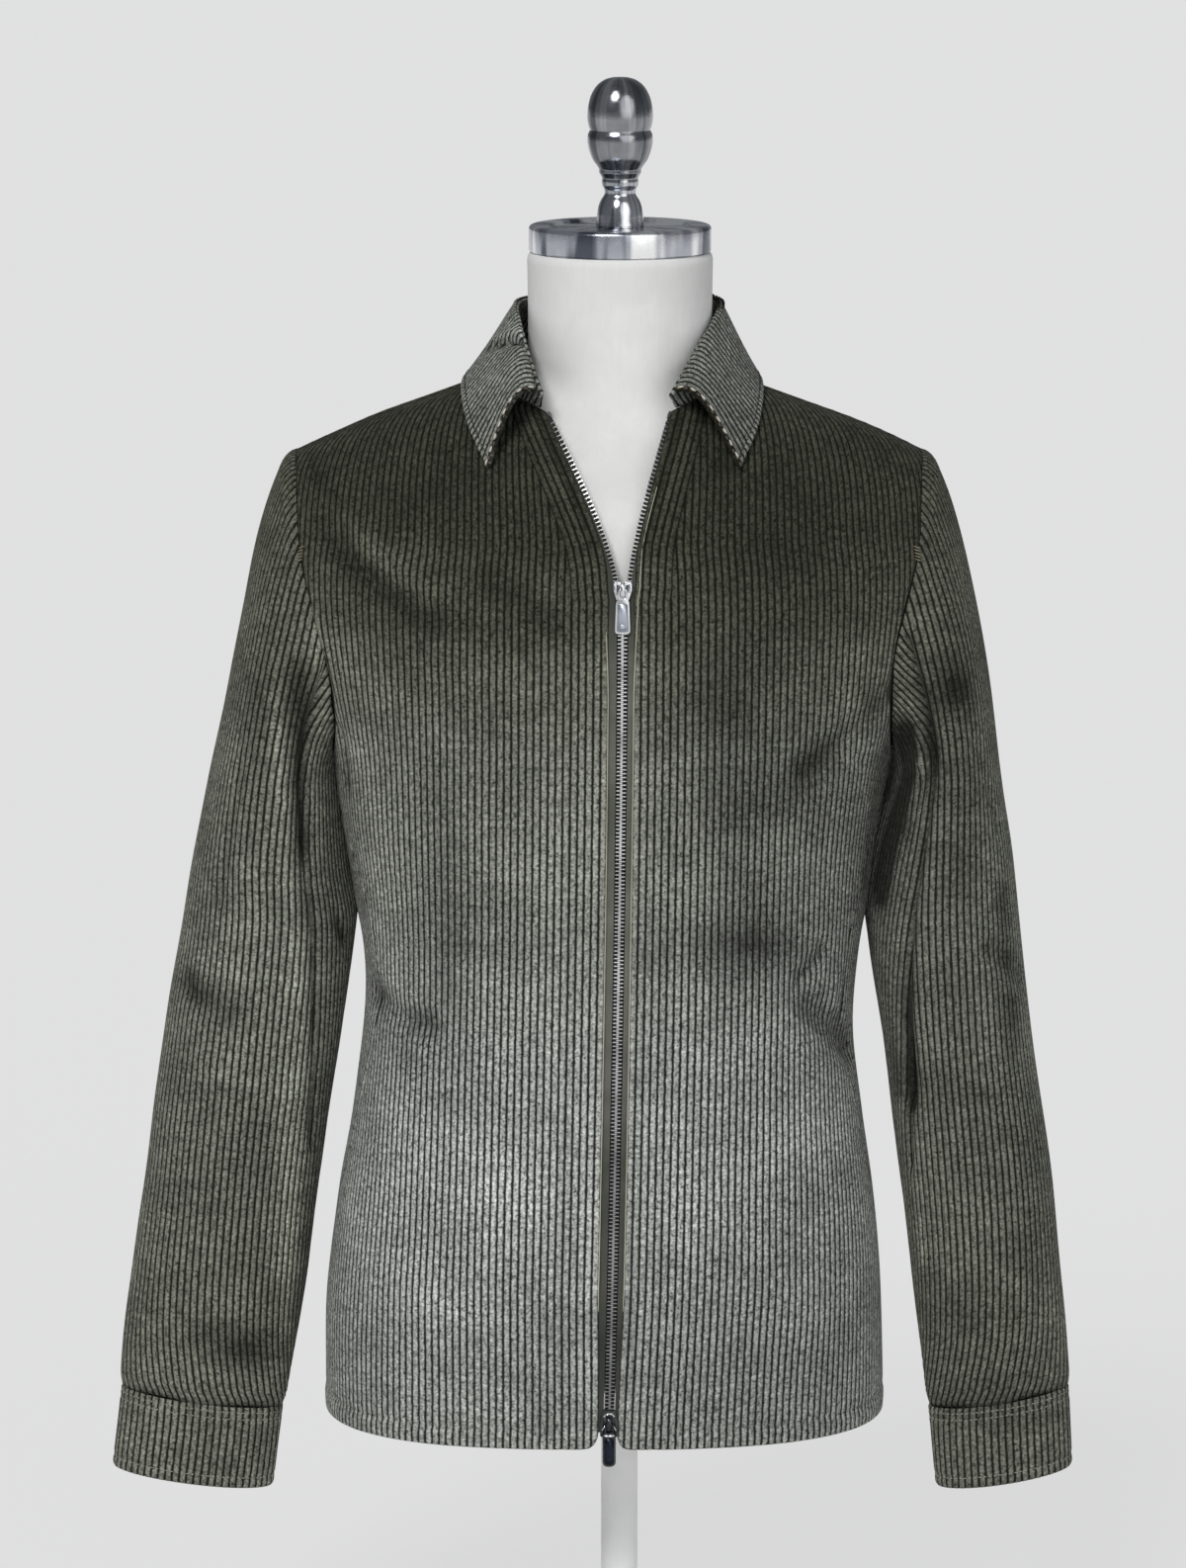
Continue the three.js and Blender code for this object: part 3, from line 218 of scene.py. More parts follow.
# Places where the pile is painted lighter (positive) or darker: brushed nap, painted highlights on fold
# ridges, and painted shade in folds, in the gaps under the arms and under the collar; from one point to
# another.
NAP_AND_SHADE_MARKS = [
    # start, end, half width, amount
    # painted highlight along the chest's fold ridge, and painted shade in the trough under it
    ((-194, -80, 750), (-160, -96, 735), 8, 0.7),
    ((-160, -96, 735), (-118, -110, 696), 6, 0.55),
    ((-172, -88, 716), (-60, -122, 676), 9, -0.4),
    ((-84, -118, 718), (-45, -126, 692), 10, -0.5),
    ((-200, -40, 782), (-186, -70, 768), 12, -0.5),
    ((-130, -108, 740), (-50, -124, 712), 9, 0.2),
    ((-120, -108, 668), (-60, -122, 600), 34, -0.28),
    ((110, -104, 742), (70, -118, 640), 42, -0.45),
    ((60, -120, 640), (110, -100, 600), 30, -0.3),
    ((-186, -66, 700), (-176, -58, 600), 14, 0.3),
    ((-188, -60, 640), (-184, -58, 560), 9, 0.7),
    ((-184, -58, 560), (-163, -60, 480), 12, 0.75),
    ((-112, -108, 592), (-110, -110, 440), 16, -0.3),
    ((76, -118, 560), (84, -116, 475), 24, -0.4),
    ((140, -90, 640), (146, -84, 600), 12, 0.35),
    ((-160, -76, 600), (-150, -82, 440), 16, 0.25),
    ((160, -72, 705), (178, -50, 612), 13, 0.4),
    ((148, -82, 620), (168, -56, 540), 12, 0.2),
    ((120, -100, 452), (150, -66, 430), 9, 0.4),
    ((50, -126, 486), (110, -104, 480), 9, -0.35),
    ((60, -124, 590), (120, -96, 560), 14, -0.3),
    ((-40, -136, 600), (-36, -136, 420), 22, 0.2),
    ((-110, -108, 480), (-70, -122, 474), 9, -0.25),
    ((-30, -138, 330), (-45, -138, 250), 16, -0.1),
    ((-80, -128, 212), (-60, -134, 206), 9, -0.4),
    ((-52, -135, 190), (-48, -136, 172), 7, -0.4),
    ((120, -108, 300), (90, -124, 200), 50, -0.22),
    # painted shade in the gap under the left arm and along the left sleeve's long fold, and painted
    # highlights on its ridge
    ((186, -52, 612), (168, -36, 505), 11, -2.4),
    ((199, -66, 665), (201, -62, 598), 4, -0.9),
    ((201, -62, 598), (193, -54, 545), 4, -1.1),
    ((191, -54, 545), (188, -48, 425), 6, -1.2),
    ((188, -48, 425), (188, -46, 365), 4, -0.9),
    ((212, -70, 780), (214, -70, 640), 14, -0.35),
    ((213, -66, 640), (219, -54, 380), 15, -0.55),
    ((192, -62, 640), (193, -60, 590), 3, 0.5),
    ((193, -60, 590), (183, -46, 520), 3, 0.5),
    ((195, -44, 350), (199, -42, 262), 5, 1.0),
    ((178, -34, 470), (180, -34, 375), 7, -0.6),
    ((240, -42, 500), (250, -36, 250), 13, -0.95),
    ((236, -44, 340), (240, -38, 120), 42, -0.3),
    # painted shade and highlights along the right sleeve's folds, and painted shade in the gap under the
    # right arm
    ((-226, -72, 660), (-236, -66, 545), 12, -0.35),
    ((-221, -74, 660), (-217, -68, 567), 3, 0.5),
    ((-217, -68, 567), (-208, -60, 447), 3, 0.4),
    ((-203, -70, 648), (-198, -62, 537), 9, -0.35),
    ((-192, -76, 690), (-190, -66, 612), 4, 0.5),
    ((-190, -66, 612), (-178, -54, 545), 4, 0.6),
    ((-181, -58, 606), (-177, -50, 574), 3.5, -1.6),
    ((-290, -42, 450), (-246, -60, 432), 10, -0.75),
    ((-192, -44, 489), (-176, -34, 470), 7, -0.6),
    ((-210, -50, 450), (-218, -46, 262), 12, 0.95),
    ((-266, -50, 218), (-236, -56, 202), 15, -0.75),
    ((-40, 108, 760), (60, 110, 740), 22, -0.3),
    ((-90, 100, 560), (-60, 108, 480), 26, 0.2),
    ((70, 104, 420), (40, 112, 330), 30, -0.2),
    ((-188, -62, 592), (-187, -58, 535), 8, 1.0),
    ((-163, -70, 518), (-162, -74, 486), 8, 0.75),
    ((188, -46, 500), (178, -40, 456), 4, -0.8),
    ((244, -45, 430), (246, -38, 200), 11, -0.7),
    ((-216, -45, 372), (-216, -42, 216), 7, 0.5),
    ((166, -70, 512), (162, -74, 492), 7, 0.45),
    ((-176, -62, 690), (-150, -88, 642), 15, 0.4),
    ((146, -86, 664), (166, -70, 652), 12, 0.4),
    ((86, -112, 634), (96, -108, 618), 9, 0.35),
    ((-16, -138, 570), (-20, -140, 200), 7, 0.25),
    ((10, -138, 520), (6, -140, 200), 6, -0.3),
    ((90, -126, 260), (110, -110, 170), 45, -0.12),
    ((-125, -100, 768), (-85, -110, 752), 38, -0.22),
    ((40, -128, 482), (115, -108, 476), 42, -0.12),
    # flattened pile and painted shade under the collar
    ((-63, -90, 828), (-78, -98, 790), 7, -1.0),
    ((-52, -88, 826), (-62, -96, 806), 8, -0.6),
    ((40, -84, 824), (62, -96, 794), 11, -1.0),
]


# ---- reading tables and measuring ----
def hermite(part, span, first, last, first_slope, last_slope):
    """A smooth curve between two values with a slope at each end."""
    ease = part * part * (3 - 2 * part)
    bend = (1 - part) * first_slope - part * last_slope
    return first * (1 - ease) + last * ease + span * part * (1 - part) * bend


def read(table, column, at):
    """Reads a column of a table on a smooth curve through its rows."""
    keys = table["key"]
    values = table[column]
    ends = np.diff(values) / np.diff(keys)
    inner = (values[2:] - values[:-2]) / (keys[2:] - keys[:-2])
    slopes = np.concatenate([ends[:1], inner, ends[-1:]])
    row = np.clip(np.searchsorted(keys, at, side="left") - 1, 0, len(keys) - 2)
    span = keys[row + 1] - keys[row]
    part = np.clip((at - keys[row]) / span, 0, 1)
    return hermite(part, span, values[row], values[row + 1], slopes[row], slopes[row + 1])


def read_rows(at, known, values):
    """Reads rows of values at places between the known ones."""
    return np.stack([np.interp(at, known, column) for column in values.T], -1)


def unit(vectors):
    return vectors / np.maximum(np.linalg.norm(vectors, axis=-1, keepdims=True), 1e-9)


def run_length(points):
    """Distance along a row of points."""
    steps = np.linalg.norm(np.diff(points, axis=0), axis=-1)
    return np.concatenate([[0.0], np.cumsum(steps)])


def bell(distance, width):
    return np.exp(-((distance / width) ** 2))


def smooth_step(low, high, value):
    part = np.clip((value - low) / (high - low), 0, 1)
    return part * part * (3 - 2 * part)


def along_lines(points, lines):
    """Adds up soft marks along lines at each point."""
    total = np.zeros(points.shape[:-1])
    for start, end, width, amount in lines:
        start = np.array(start, float)
        line = np.array(end, float) - start
        part = np.clip((points - start) @ line / (line @ line), 0, 1)
        near = start + part[..., None] * line
        total += amount * bell(np.linalg.norm(points - near, axis=-1), width)
    return total


def fold_shift(points):
    return along_lines(points, FOLDS)


def nap_and_shade_tone(points, shift):
    """How light the pile is painted: its marks of brushed nap, painted shade and painted highlight, with
    painted shade in folds and a painted highlight on ridges.
    """
    folded = np.clip(shift / 5, -0.6, 0.12)
    return np.clip(along_lines(points, NAP_AND_SHADE_MARKS) + folded, -1, 1)


def slow_swell(points):
    """The cloth's own soft unevenness."""
    x, y, z = np.moveaxis(points, -1, 0)
    swell = np.sin(z / 37 + x / 61 + 1.3) * np.sin(x / 43 - z / 90 + y / 70)
    return 0.55 * swell + 0.3 * np.sin(z / 19 + x / 27) * np.sin(x / 23 + z / 55 + 2.1)


# ---- corduroy's wales ----
def wale_columns(start, end):
    """Places of the columns of faces: a groove and two shoulders for each wale."""
    first = round(start / WALE)
    last = math.ceil(end / WALE)
    places = [k + share for k in range(first, last) for share in (0, GROOVE_SHARE, 1 - GROOVE_SHARE)]
    return WALE * np.array(places + [last])


def groove(place):
    """1 in a groove and 0 on a wale."""
    share = np.mod(place / WALE, 1)
    return np.clip(1 - np.minimum(share, 1 - share) / GROOVE_SHARE, 0, 1)


def seam_edge(distance):
    """1 at a seam and 0 a little way from it."""
    return np.clip(1 - distance / (WALE * GROOVE_SHARE), 0, 1)


# ---- the body's surface ----
SHOULDER = {"top": 861.5, "slope": 0.36, "bend_start": 140.0, "bend": 0.0012}


def shoulder_height(half):
    past = np.maximum(0, half - SHOULDER["bend_start"])
    return SHOULDER["top"] - SHOULDER["slope"] * half - SHOULDER["bend"] * past * past


def shoulder_half(z):
    slope, bend = SHOULDER["slope"], SHOULDER["bend"]
    fall = SHOULDER["top"] - z - slope * SHOULDER["bend_start"]
    root = np.sqrt(slope * slope + 4 * bend * np.maximum(fall, 0))
    bent = SHOULDER["bend_start"] + (root - slope) / (2 * bend)
    return np.where(fall <= 0, (SHOULDER["top"] - z) / slope, bent)


def body_section(z, slack=(0, 0, 0, 0), widest=1000.0):
    """Sizes of a level section. slack is how far inside the cloth it lies: side, front, back, shoulder."""
    side, front, back, shoulder = slack
    full = read(BODY, "half", z) - side
    half = np.minimum(np.minimum(full, widest), shoulder_half(z + shoulder))
    return {
        "z": z, "up": z + shoulder, "centre": read(BODY, "centre", z), "full": full, "half": half,
        "front": read(BODY, "front", z) - front, "back": read(BODY, "back", z) - back,
        "power": read(BODY, "power", z),
    }


def on_section(section, turn, side):
    """turn is 0 at the middle of the front, 90 at the side and 180 at the middle of the back."""
    front = turn < 90
    across = section["half"] * np.sin(np.radians(turn))
    depth = np.where(front, -section["front"], section["back"])
    share = np.clip(across / section["full"], 0, 1)
    curve = (1 - share ** section["power"]) ** (1 / section["power"])
    height = shoulder_height(across) - SHOULDER_START
    rise = np.clip((section["up"] - SHOULDER_START) / height, 0, 1)
    roll = np.sqrt(1 - rise ** np.where(front, ROLL["front"], ROLL["back"]))
    z = np.broadcast_to(section["z"], across.shape)
    return np.stack([section["centre"] + side * across, depth * curve * roll, z], -1)


def body_point(z, turn, side):
    return on_section(body_section(np.asarray(z, float)), np.asarray(turn, float), side)


def body_normal(z, turn, side):
    around = body_point(z, turn + 0.6, side) - body_point(z, turn - 0.6, side)
    up = body_point(z + 1, turn, side) - body_point(z - 1, turn, side)
    return side * unit(np.cross(around, up))


def turn_at_depth(z, y, side):
    turns = np.linspace(0, 180, 1801)
    return float(np.interp(y, body_point(z, turns, side)[:, 1], turns))


def turn_at_across(z, x, side):
    section = body_section(z)
    share = np.clip(side * (x - section["centre"]) / section["half"], -0.999, 0.999)
    return float(np.degrees(np.arcsin(share)))


def zip_line(z):
    down = np.maximum(0, (OPEN_START - z) / ZIP_CURVE)
    return 1.3 - 8.5 * down ** 1.6


def opening(z, name):
    up = max(0.0, (min(z, OPEN_END) - OPEN_START) / (OPEN_END - OPEN_START))
    parted = 1.6 * min(max((z - PARTING) / 8, 0), 1)
    return parted + OPEN_SPREAD[name] * up ** OPEN_POWER


def edge_gap(z, name):
    """From the zip's middle line to the front's edge where the zip is closed."""
    return EDGE_GAP[name] + float(np.interp(z, *EDGE_EASE))


def armhole_reach(z):
    """Half the armhole's depth, front to back, at one height."""
    part = (z - ARMHOLE["z"]) / ARMHOLE["height"]
    return ARMHOLE["depth"] * math.sqrt(1 - part * part)


def seam_turn(z, side, which):
    """Where the front (-1) or the back (1) ends on a level section."""
    if z <= ARMHOLE_LOW + 0.01:
        return turn_at_depth(z, float(read(SIDE_SEAM, "y", z)), side)
    if z >= ARMHOLE_TOP - 0.01:
        return 90.0
    return turn_at_depth(z, ARMHOLE["y"] + which * armhole_reach(z), side)


def neck_across(z, side):
    """From the zip's middle line to the side of the neck, where the shoulder seam starts."""
    return side * (float(read(BODY, "centre", NECK_POINT)) - zip_line(z)) + NECK_HALF


# ---- making meshes ----
def to_metres(points):
    return (np.asarray(points, float) + (0, 0, LIFT)) * MM


def mesh_from(name, bm):
    mesh = bpy.data.meshes.new(name)
    bm.to_mesh(mesh)
    bm.free()
    return mesh


def finish_piece(name, mesh, material, body="jacket", node=None):
    """Puts a mesh in the scene. node is the CAD piece that it stands for, if any."""
    piece = bpy.data.objects.new(name, mesh)
    bpy.context.scene.collection.objects.link(piece)
    mesh.materials.append(material)
    mesh.shade_smooth()
    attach(piece, body)
    if node:
        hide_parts(node)
    return piece


def cloth_piece(node, points, out, across, along, material, thickness=CLOTH, tone=None, under="form_canvas"):
    """The cloth of a CAD node, as a sheet on a grid of points. out holds its outward directions; across and
    along are measured over the cloth in millimetres, and become its UV map in metres."""
    name = f"{node}_cloth"
    rows, columns = points.shape[:2]
    bm = bmesh.new()
    bm.loops.layers.uv.new("Cloth")
    bmesh.ops.create_grid(bm, x_segments=columns - 1, y_segments=rows - 1, size=1)
    mesh = mesh_from(name, bm)
    spots = np.empty(len(mesh.vertices) * 3)
    mesh.vertices.foreach_get("co", spots)
    spots = spots.reshape(-1, 3)
    column = np.rint((spots[:, 0] + 1) / 2 * (columns - 1)).astype(int)
    row = np.rint((spots[:, 1] + 1) / 2 * (rows - 1)).astype(int)
    mesh.vertices.foreach_set("co", to_metres(points[row, column]).ravel())
    corners = np.empty(len(mesh.loops), int)
    mesh.loops.foreach_get("vertex_index", corners)
    uv = np.stack([across[row, column], along[row, column]], -1)[corners] * MM
    mesh.uv_layers["Cloth"].data.foreach_set("uv", uv.ravel())
    # The attribute holds how light the pile is painted: brushed nap, with painted shade and painted
    # highlights.
    nap_and_shade = mesh.attributes.new("Nap", "FLOAT", "POINT")
    nap_and_shade.data.foreach_set("value", (0 * across if tone is None else tone)[row, column].ravel())
    facing = np.empty(len(mesh.polygons) * 3)
    mesh.polygons.foreach_get("normal", facing)
    area = np.empty(len(mesh.polygons))
    mesh.polygons.foreach_get("area", area)
    first = corners.reshape(-1, 4)[:, 0]
    agrees = (facing.reshape(-1, 3) * out[row[first], column[first]]).sum(-1) @ area
    bm = bmesh.new()
    bm.from_mesh(mesh)
    if agrees < 0:
        bmesh.ops.reverse_faces(bm, faces=bm.faces)
    bmesh.ops.remove_doubles(bm, verts=bm.verts, dist=SAME)
    bmesh.ops.dissolve_degenerate(bm, dist=SAME / 10, edges=bm.edges)
    bm.to_mesh(mesh)
    bm.free()
    piece = finish_piece(name, mesh, material, node=node)
    wall = piece.modifiers.new("Thickness", "SOLIDIFY")
    wall.thickness = thickness * MM
    wall.offset = -1


def spun(node, profile, material, segments):
    """A turned piece from its profile of (radius, height) in garment millimetres."""
    bm = bmesh.new()
    verts = [bm.verts.new(Vector((r * MM, 0, (z + LIFT) * MM))) for r, z in profile]
    edges = [bm.edges.new(pair) for pair in zip(verts, verts[1:])]
    bmesh.ops.spin(bm, geom=verts + edges, cent=(0, 0, 0), axis=(0, 0, 1), angle=2 * math.pi,
                   steps=segments, use_merge=True)
    bmesh.ops.remove_doubles(bm, verts=bm.verts, dist=SAME / 10)
    kind = "paint" if node.startswith("stand") else "metal"
    from_bmesh(f"{node}_{kind}", bm, material, node=node)


def smooth_profile(points, steps):
    """A smooth curve through the points of a profile."""
    path = np.array(points, float)
    before = np.vstack([path[:1], path[:-1]])
    after = np.vstack([path[1:], path[-1:]])
    slope = (after - before) / 2
    curve = [hermite(part, 1, path[i], path[i + 1], slope[i], slope[i + 1])
             for i in range(len(path) - 1) for part in np.arange(steps) / steps]
    return curve + [path[-1]]


def from_bmesh(name, bm, material, body="jacket", node=None):
    bmesh.ops.recalc_face_normals(bm, faces=bm.faces)
    return finish_piece(name, mesh_from(name, bm), material, body, node)


def ring_edges(bm, spots):
    """A closed ring of edges through spots in metres."""
    verts = [bm.verts.new(Vector(spot)) for spot in spots]
    return [bm.edges.new((verts[i], verts[(i + 1) % len(verts)])) for i in range(len(verts))]


def bridge_rings(bm, rings, filled=True):
    """Skins a row of rings, and closes its two ends."""
    for low, high in zip(rings, rings[1:]):
        bmesh.ops.bridge_loops(bm, edges=low + high)
    if filled:
        bmesh.ops.holes_fill(bm, edges=rings[0] + rings[-1])


def turns_of(count):
    """Angles at equal steps all the way round."""
    return np.arange(count) / count * 2 * math.pi


# ---- shader groups ----
def group_with(name, outputs, **inputs):
    """A node group whose outputs are numbers. An input is given its value, or None for a plain vector."""
    group = bpy.data.node_groups.new(name, "ShaderNodeTree")
    for label, value in inputs.items():
        kind = "NodeSocketFloat" if isinstance(value, float) else "NodeSocketVector"
        socket = group.interface.new_socket(label, in_out="INPUT", socket_type=kind)
        if value is not None:
            socket.default_value = value
    for label in outputs:
        group.interface.new_socket(label, in_out="OUTPUT", socket_type="NodeSocketFloat")
    start = group.nodes.new("NodeGroupInput").outputs
    return group, Nodes(group), start, group.nodes.new("NodeGroupOutput")


class Nodes:
    """Short ways to add, set and join nodes in one tree."""

    def __init__(self, tree):
        self.tree = tree

    def put(self, socket, value):
        """Joins another node's output to a socket, or sets the socket's own value."""
        if isinstance(value, bpy.types.NodeSocket):
            self.tree.links.new(value, socket)
        elif isinstance(value, tuple) and len(value) < len(socket.default_value):
            socket.default_value = (*value, 1)
        else:
            socket.default_value = value

    def fill(self, node, **values):
        """Sets a node's settings and sockets by name, with _ for a space."""
        for key, value in values.items():
            if hasattr(node, key):
                setattr(node, key, value)
            else:
                self.put(node.inputs[key.replace("_", " ")], value)
        return node

    def add(self, kind, **values):
        return self.fill(self.tree.nodes.new("ShaderNode" + kind), **values)

    def sums(self, operation, *values, kind="Math"):
        node = self.add(kind, operation=operation)
        for socket, value in zip(node.inputs, values):
            self.put(socket, value)
        return node.outputs[0]

    def times(self, first, second, kind="Math"):
        return self.sums("MULTIPLY", first, second, kind=kind)

    def minus(self, first, second):
        return self.sums("SUBTRACT", first, second)

    def noise(self, vector, scale, detail=3.0, roughness=0.5):
        node = self.add("TexNoise", Vector=vector, Scale=scale, Detail=detail, Roughness=roughness)
        return node.outputs["Fac"]

    def spread(self, value, low, high, to_low=0.0, to_high=1.0, smooth=True):
        node = self.add("MapRange", interpolation_type="SMOOTHSTEP" if smooth else "LINEAR", Value=value,
                        From_Min=low, From_Max=high, To_Min=to_low, To_Max=to_high)
        return node.outputs[0]

    def by_height(self, place, stops):
        """A colour that changes with the height above the floor."""
        fall = self.add("ValToRGB", Fac=self.add("SeparateXYZ", Vector=place).outputs["Z"])
        ramp = fall.color_ramp
        ramp.interpolation = "EASE"
        while len(ramp.elements) < len(stops):
            ramp.elements.new(0.5)
        for element, (position, colour) in zip(ramp.elements, stops):
            element.position = position
            element.color = (*colour, 1)
        return fall.outputs["Color"]

    def mix(self, factor, first, second, blend="MIX"):
        node = self.add("Mix", data_type="RGBA", blend_type=blend)
        for label, value in ((0, factor), (6, first), (7, second)):
            self.put(node.inputs[label], value)
        return node.outputs[2]

    def object_place(self):
        return self.add("TexCoord").outputs["Object"]


def make_wale_group():
    """Where a point lies across a wale: its dark groove, and the height of the pile."""
    group, n, start, end = group_with("Wales", ("Groove", "Height"), Cloth=None, Pitch=WALE * MM, Groove=0.52)
    waver = n.minus(n.noise(start["Cloth"], 210, 2), 0.5)
    across = n.sums("DIVIDE", n.add("SeparateXYZ", Vector=start["Cloth"]).outputs["X"], start["Pitch"])
    share = n.sums("FRACT", n.sums("MULTIPLY_ADD", waver, 0.22, across))
    off = n.times(n.sums("ABSOLUTE", n.minus(share, 0.5)), 2)
    tufts = n.minus(n.noise(start["Cloth"], 760, 2, 0.65), 0.5)
    inner = n.minus(1, start["Groove"])
    rise = n.sums("DIVIDE", n.minus(off, inner), start["Groove"])
    mask = n.spread(n.sums("MULTIPLY_ADD", tufts, 0.6, rise), 0.12, 0.72)
    crown = n.times(n.times(off, off), -0.4)
    n.fill(end, Groove=mask, Height=n.minus(crown, mask))
    return group


def make_pile_group():
    """Brushed marks in the velvet: soft patches, and the fine mottle of its tufts."""
    group, n, start, end = group_with("Pile", ("Patches", "Grain", "Specks"), Object=None, Cloth=None)
    slant = n.add("Mapping", Vector=start["Object"], Rotation=(0, math.radians(25), 0), Scale=(1.0, 1.0, 1.7))
    along = n.add("Mapping", Vector=start["Cloth"], Scale=(0.9, 1.0, 1.0))
    for label, vector, fine, coarse in (
        ("Patches", slant.outputs[0], (13, 4, 0.6), (60, 3, 0.6)),
        ("Grain", along.outputs[0], (640, 2, 0.7), (310, 2, 0.6)),
    ):
        half = n.times(n.noise(vector, *fine), 0.55)
        both = n.sums("MULTIPLY_ADD", n.noise(vector, *coarse), 0.45, half)
        n.fill(end, **{label: n.spread(both, 0.36, 0.64, smooth=False)})
    n.fill(end, Specks=n.spread(n.noise(start["Cloth"], 520, 1), 0.7, 0.76))
    return group


def make_weave_group():
    """A plain weave of two sets of threads."""
    group, n, start, end = group_with("Weave", ("Height", "Slub"), Vector=None, Thread=0.0006)
    parts = n.add("SeparateXYZ", Vector=start["Vector"]).outputs
    waves = [n.sums("SINE", n.times(n.sums("DIVIDE", parts[axis], start["Thread"]), math.pi))
             for axis in "XY"]
    cross = n.times(*waves)
    slub = n.add("Mapping", Vector=start["Vector"], Scale=(1.0, 0.12, 1.0))
    n.fill(end, Height=n.sums("ADD", n.times(cross, 0.5), 0.5),
           Slub=n.noise(slub.outputs[0], 500, 2))
    return group


def make_wear_group():
    """Fine scratches and smudges on metal."""
    group, n, start, end = group_with("Metal wear", ("Scratches", "Smudges"), Vector=None, Stretch=(1, 1, 12))
    stretched = n.times(start["Vector"], start["Stretch"], kind="VectorMath")
    n.fill(end, Scratches=n.noise(stretched, 220, 3, 0.7), Smudges=n.noise(start["Vector"], 45, 3))
    return group


WALES = make_wale_group()
PILE = make_pile_group()
WEAVE = make_weave_group()
WEAR = make_wear_group()


def new_material(name):
    material = bpy.data.materials.new(name)
    material.use_nodes = True
    return material, Nodes(material.node_tree), material.node_tree.nodes["Principled BSDF"]


def shaded(colour, share):
    return tuple(part * share for part in colour)


def bumped(n, shader, height, strength, distance=0.0002):
    bump = n.add("Bump", Height=height, Strength=strength, Distance=distance)
    n.fill(shader, Normal=bump.outputs[0])


# How light the pile is painted at heights above the floor, from the hem up to the shoulders: partly the nap's
# own tone and partly painted light and shade.
BODY_TONES = [(0.20, 0.28), (0.26, 0.30), (0.37, 0.36), (0.44, 0.30), (0.49, 0.27), (0.56, 0.23),
              (0.64, 0.21), (0.69, 0.145), (0.74, 0.085), (0.79, 0.052), (0.83, 0.043), (0.88, 0.046)]
SLEEVE_TONES = [(0.15, 0.165), (0.24, 0.155), (0.40, 0.175), (0.52, 0.19), (0.62, 0.165), (0.72, 0.12),
                (0.82, 0.08)]
COLLAR_TONES = [(0.80, 0.215), (0.92, 0.255)]


def corduroy(name, tones, mottled=0.32, groove_share=0.52):
    """Wide-wale velvet corduroy. tones says how light its pile is painted at each height, partly its nap and
    partly painted light and shade.
    """
    material, n, shader = new_material(name)
    place = n.object_place()
    cloth = n.add("UVMap", uv_map="Cloth").outputs[0]
    wales = n.add("Group", node_tree=WALES, Cloth=cloth, Groove=groove_share).outputs
    pile = n.add("Group", node_tree=PILE, Object=place, Cloth=cloth).outputs
    # Dark pile is olive, and light pile is nearly grey.
    stops = [(height, (tone * 0.97, tone, tone * (0.70 + 0.24 * min(tone / 0.3, 1))))
             for height, tone in tones]
    patch = n.spread(pile["Patches"], 0, 1, 1 - mottled, 1 + mottled * 0.55, smooth=False)
    grain = n.spread(pile["Grain"], 0, 1, 0.2, 1.9, smooth=False)
    # The pile's colour follows the mesh's attribute: brushed nap, painted shade in folds, gaps and under the
    # collar, and painted highlights on ridges.
    nap_and_shade = n.add("Attribute", attribute_name="Nap").outputs["Fac"]
    darker = n.spread(nap_and_shade, -1, 0, 0.12, 1, smooth=False)
    lighter = n.spread(nap_and_shade, 0, 1, 1, 2.1, smooth=False)
    tone = n.times(n.times(patch, grain), n.times(darker, lighter))
    shade = n.add("CombineColor", Red=tone, Green=tone, Blue=tone)
    colour = n.mix(1.0, n.by_height(place, stops), shade.outputs[0], "MULTIPLY")
    colour = n.mix(n.times(pile["Specks"], 0.35), colour, (0.13, 0.07, 0.04))
    # The grooves are painted near black: the ground cloth showing between the wales, with painted shade deep
    # in the grooves.
    colour = n.mix(n.times(wales["Groove"], 0.96), colour, (0.008, 0.009, 0.005))
    n.fill(shader, Base_Color=colour, Roughness=1.0, Specular_IOR_Level=0.08, Sheen_Weight=0.06,
           Sheen_Roughness=0.4, Sheen_Tint=(0.78, 0.80, 0.72, 1))
    bumped(n, shader, n.sums("MULTIPLY_ADD", pile["Grain"], 0.35, wales["Height"]), 0.7, 0.0007)
    return material


body_corduroy = corduroy("Body corduroy", BODY_TONES)
sleeve_corduroy = corduroy("Sleeve corduroy", SLEEVE_TONES, mottled=0.4)
collar_corduroy = corduroy("Collar corduroy", COLLAR_TONES, mottled=0.3, groove_share=0.62)


def thread(name, colour):
    material, n, shader = new_material(name)
    twist = n.noise(n.object_place(), 3000, 2)
    shade = n.mix(n.spread(twist, 0.35, 0.65), shaded(colour, 0.6), colour)
    n.fill(shader, Base_Color=shade, Roughness=0.7)
    bumped(n, shader, twist, 0.5)
    return material


def painted_light_by_height(n, place, shade, stops):
    """Paints a colour darker or lighter at some heights, as painted light and shade: stops holds (height,
    share of the colour kept).
    """
    if not stops:
        return shade
    kept = n.by_height(place, [(height, (share, share, share)) for height, share in stops])
    return n.mix(1.0, shade, kept, "MULTIPLY")


def woven(name, colour, pale, thread_width, stops=()):
    """Canvas or tape, on Object coordinates turned so that both sets of threads show on upright faces."""
    material, n, shader = new_material(name)
    place = n.object_place()
    turned = n.add("Mapping", Vector=place, Rotation=(math.radians(90), 0, 0)).outputs[0]
    weave = n.add("Group", node_tree=WEAVE, Vector=turned, Thread=thread_width).outputs
    tone = n.mix(n.spread(n.noise(place, 14, 4, 0.6), 0.35, 0.7), colour, pale)
    shade = n.mix(n.times(weave["Slub"], 0.18), tone, shaded(colour, 0.6))
    n.fill(shader, Base_Color=painted_light_by_height(n, place, shade, stops), Roughness=0.9)
    bumped(n, shader, weave["Height"], 0.25, thread_width * 0.5)
    return material


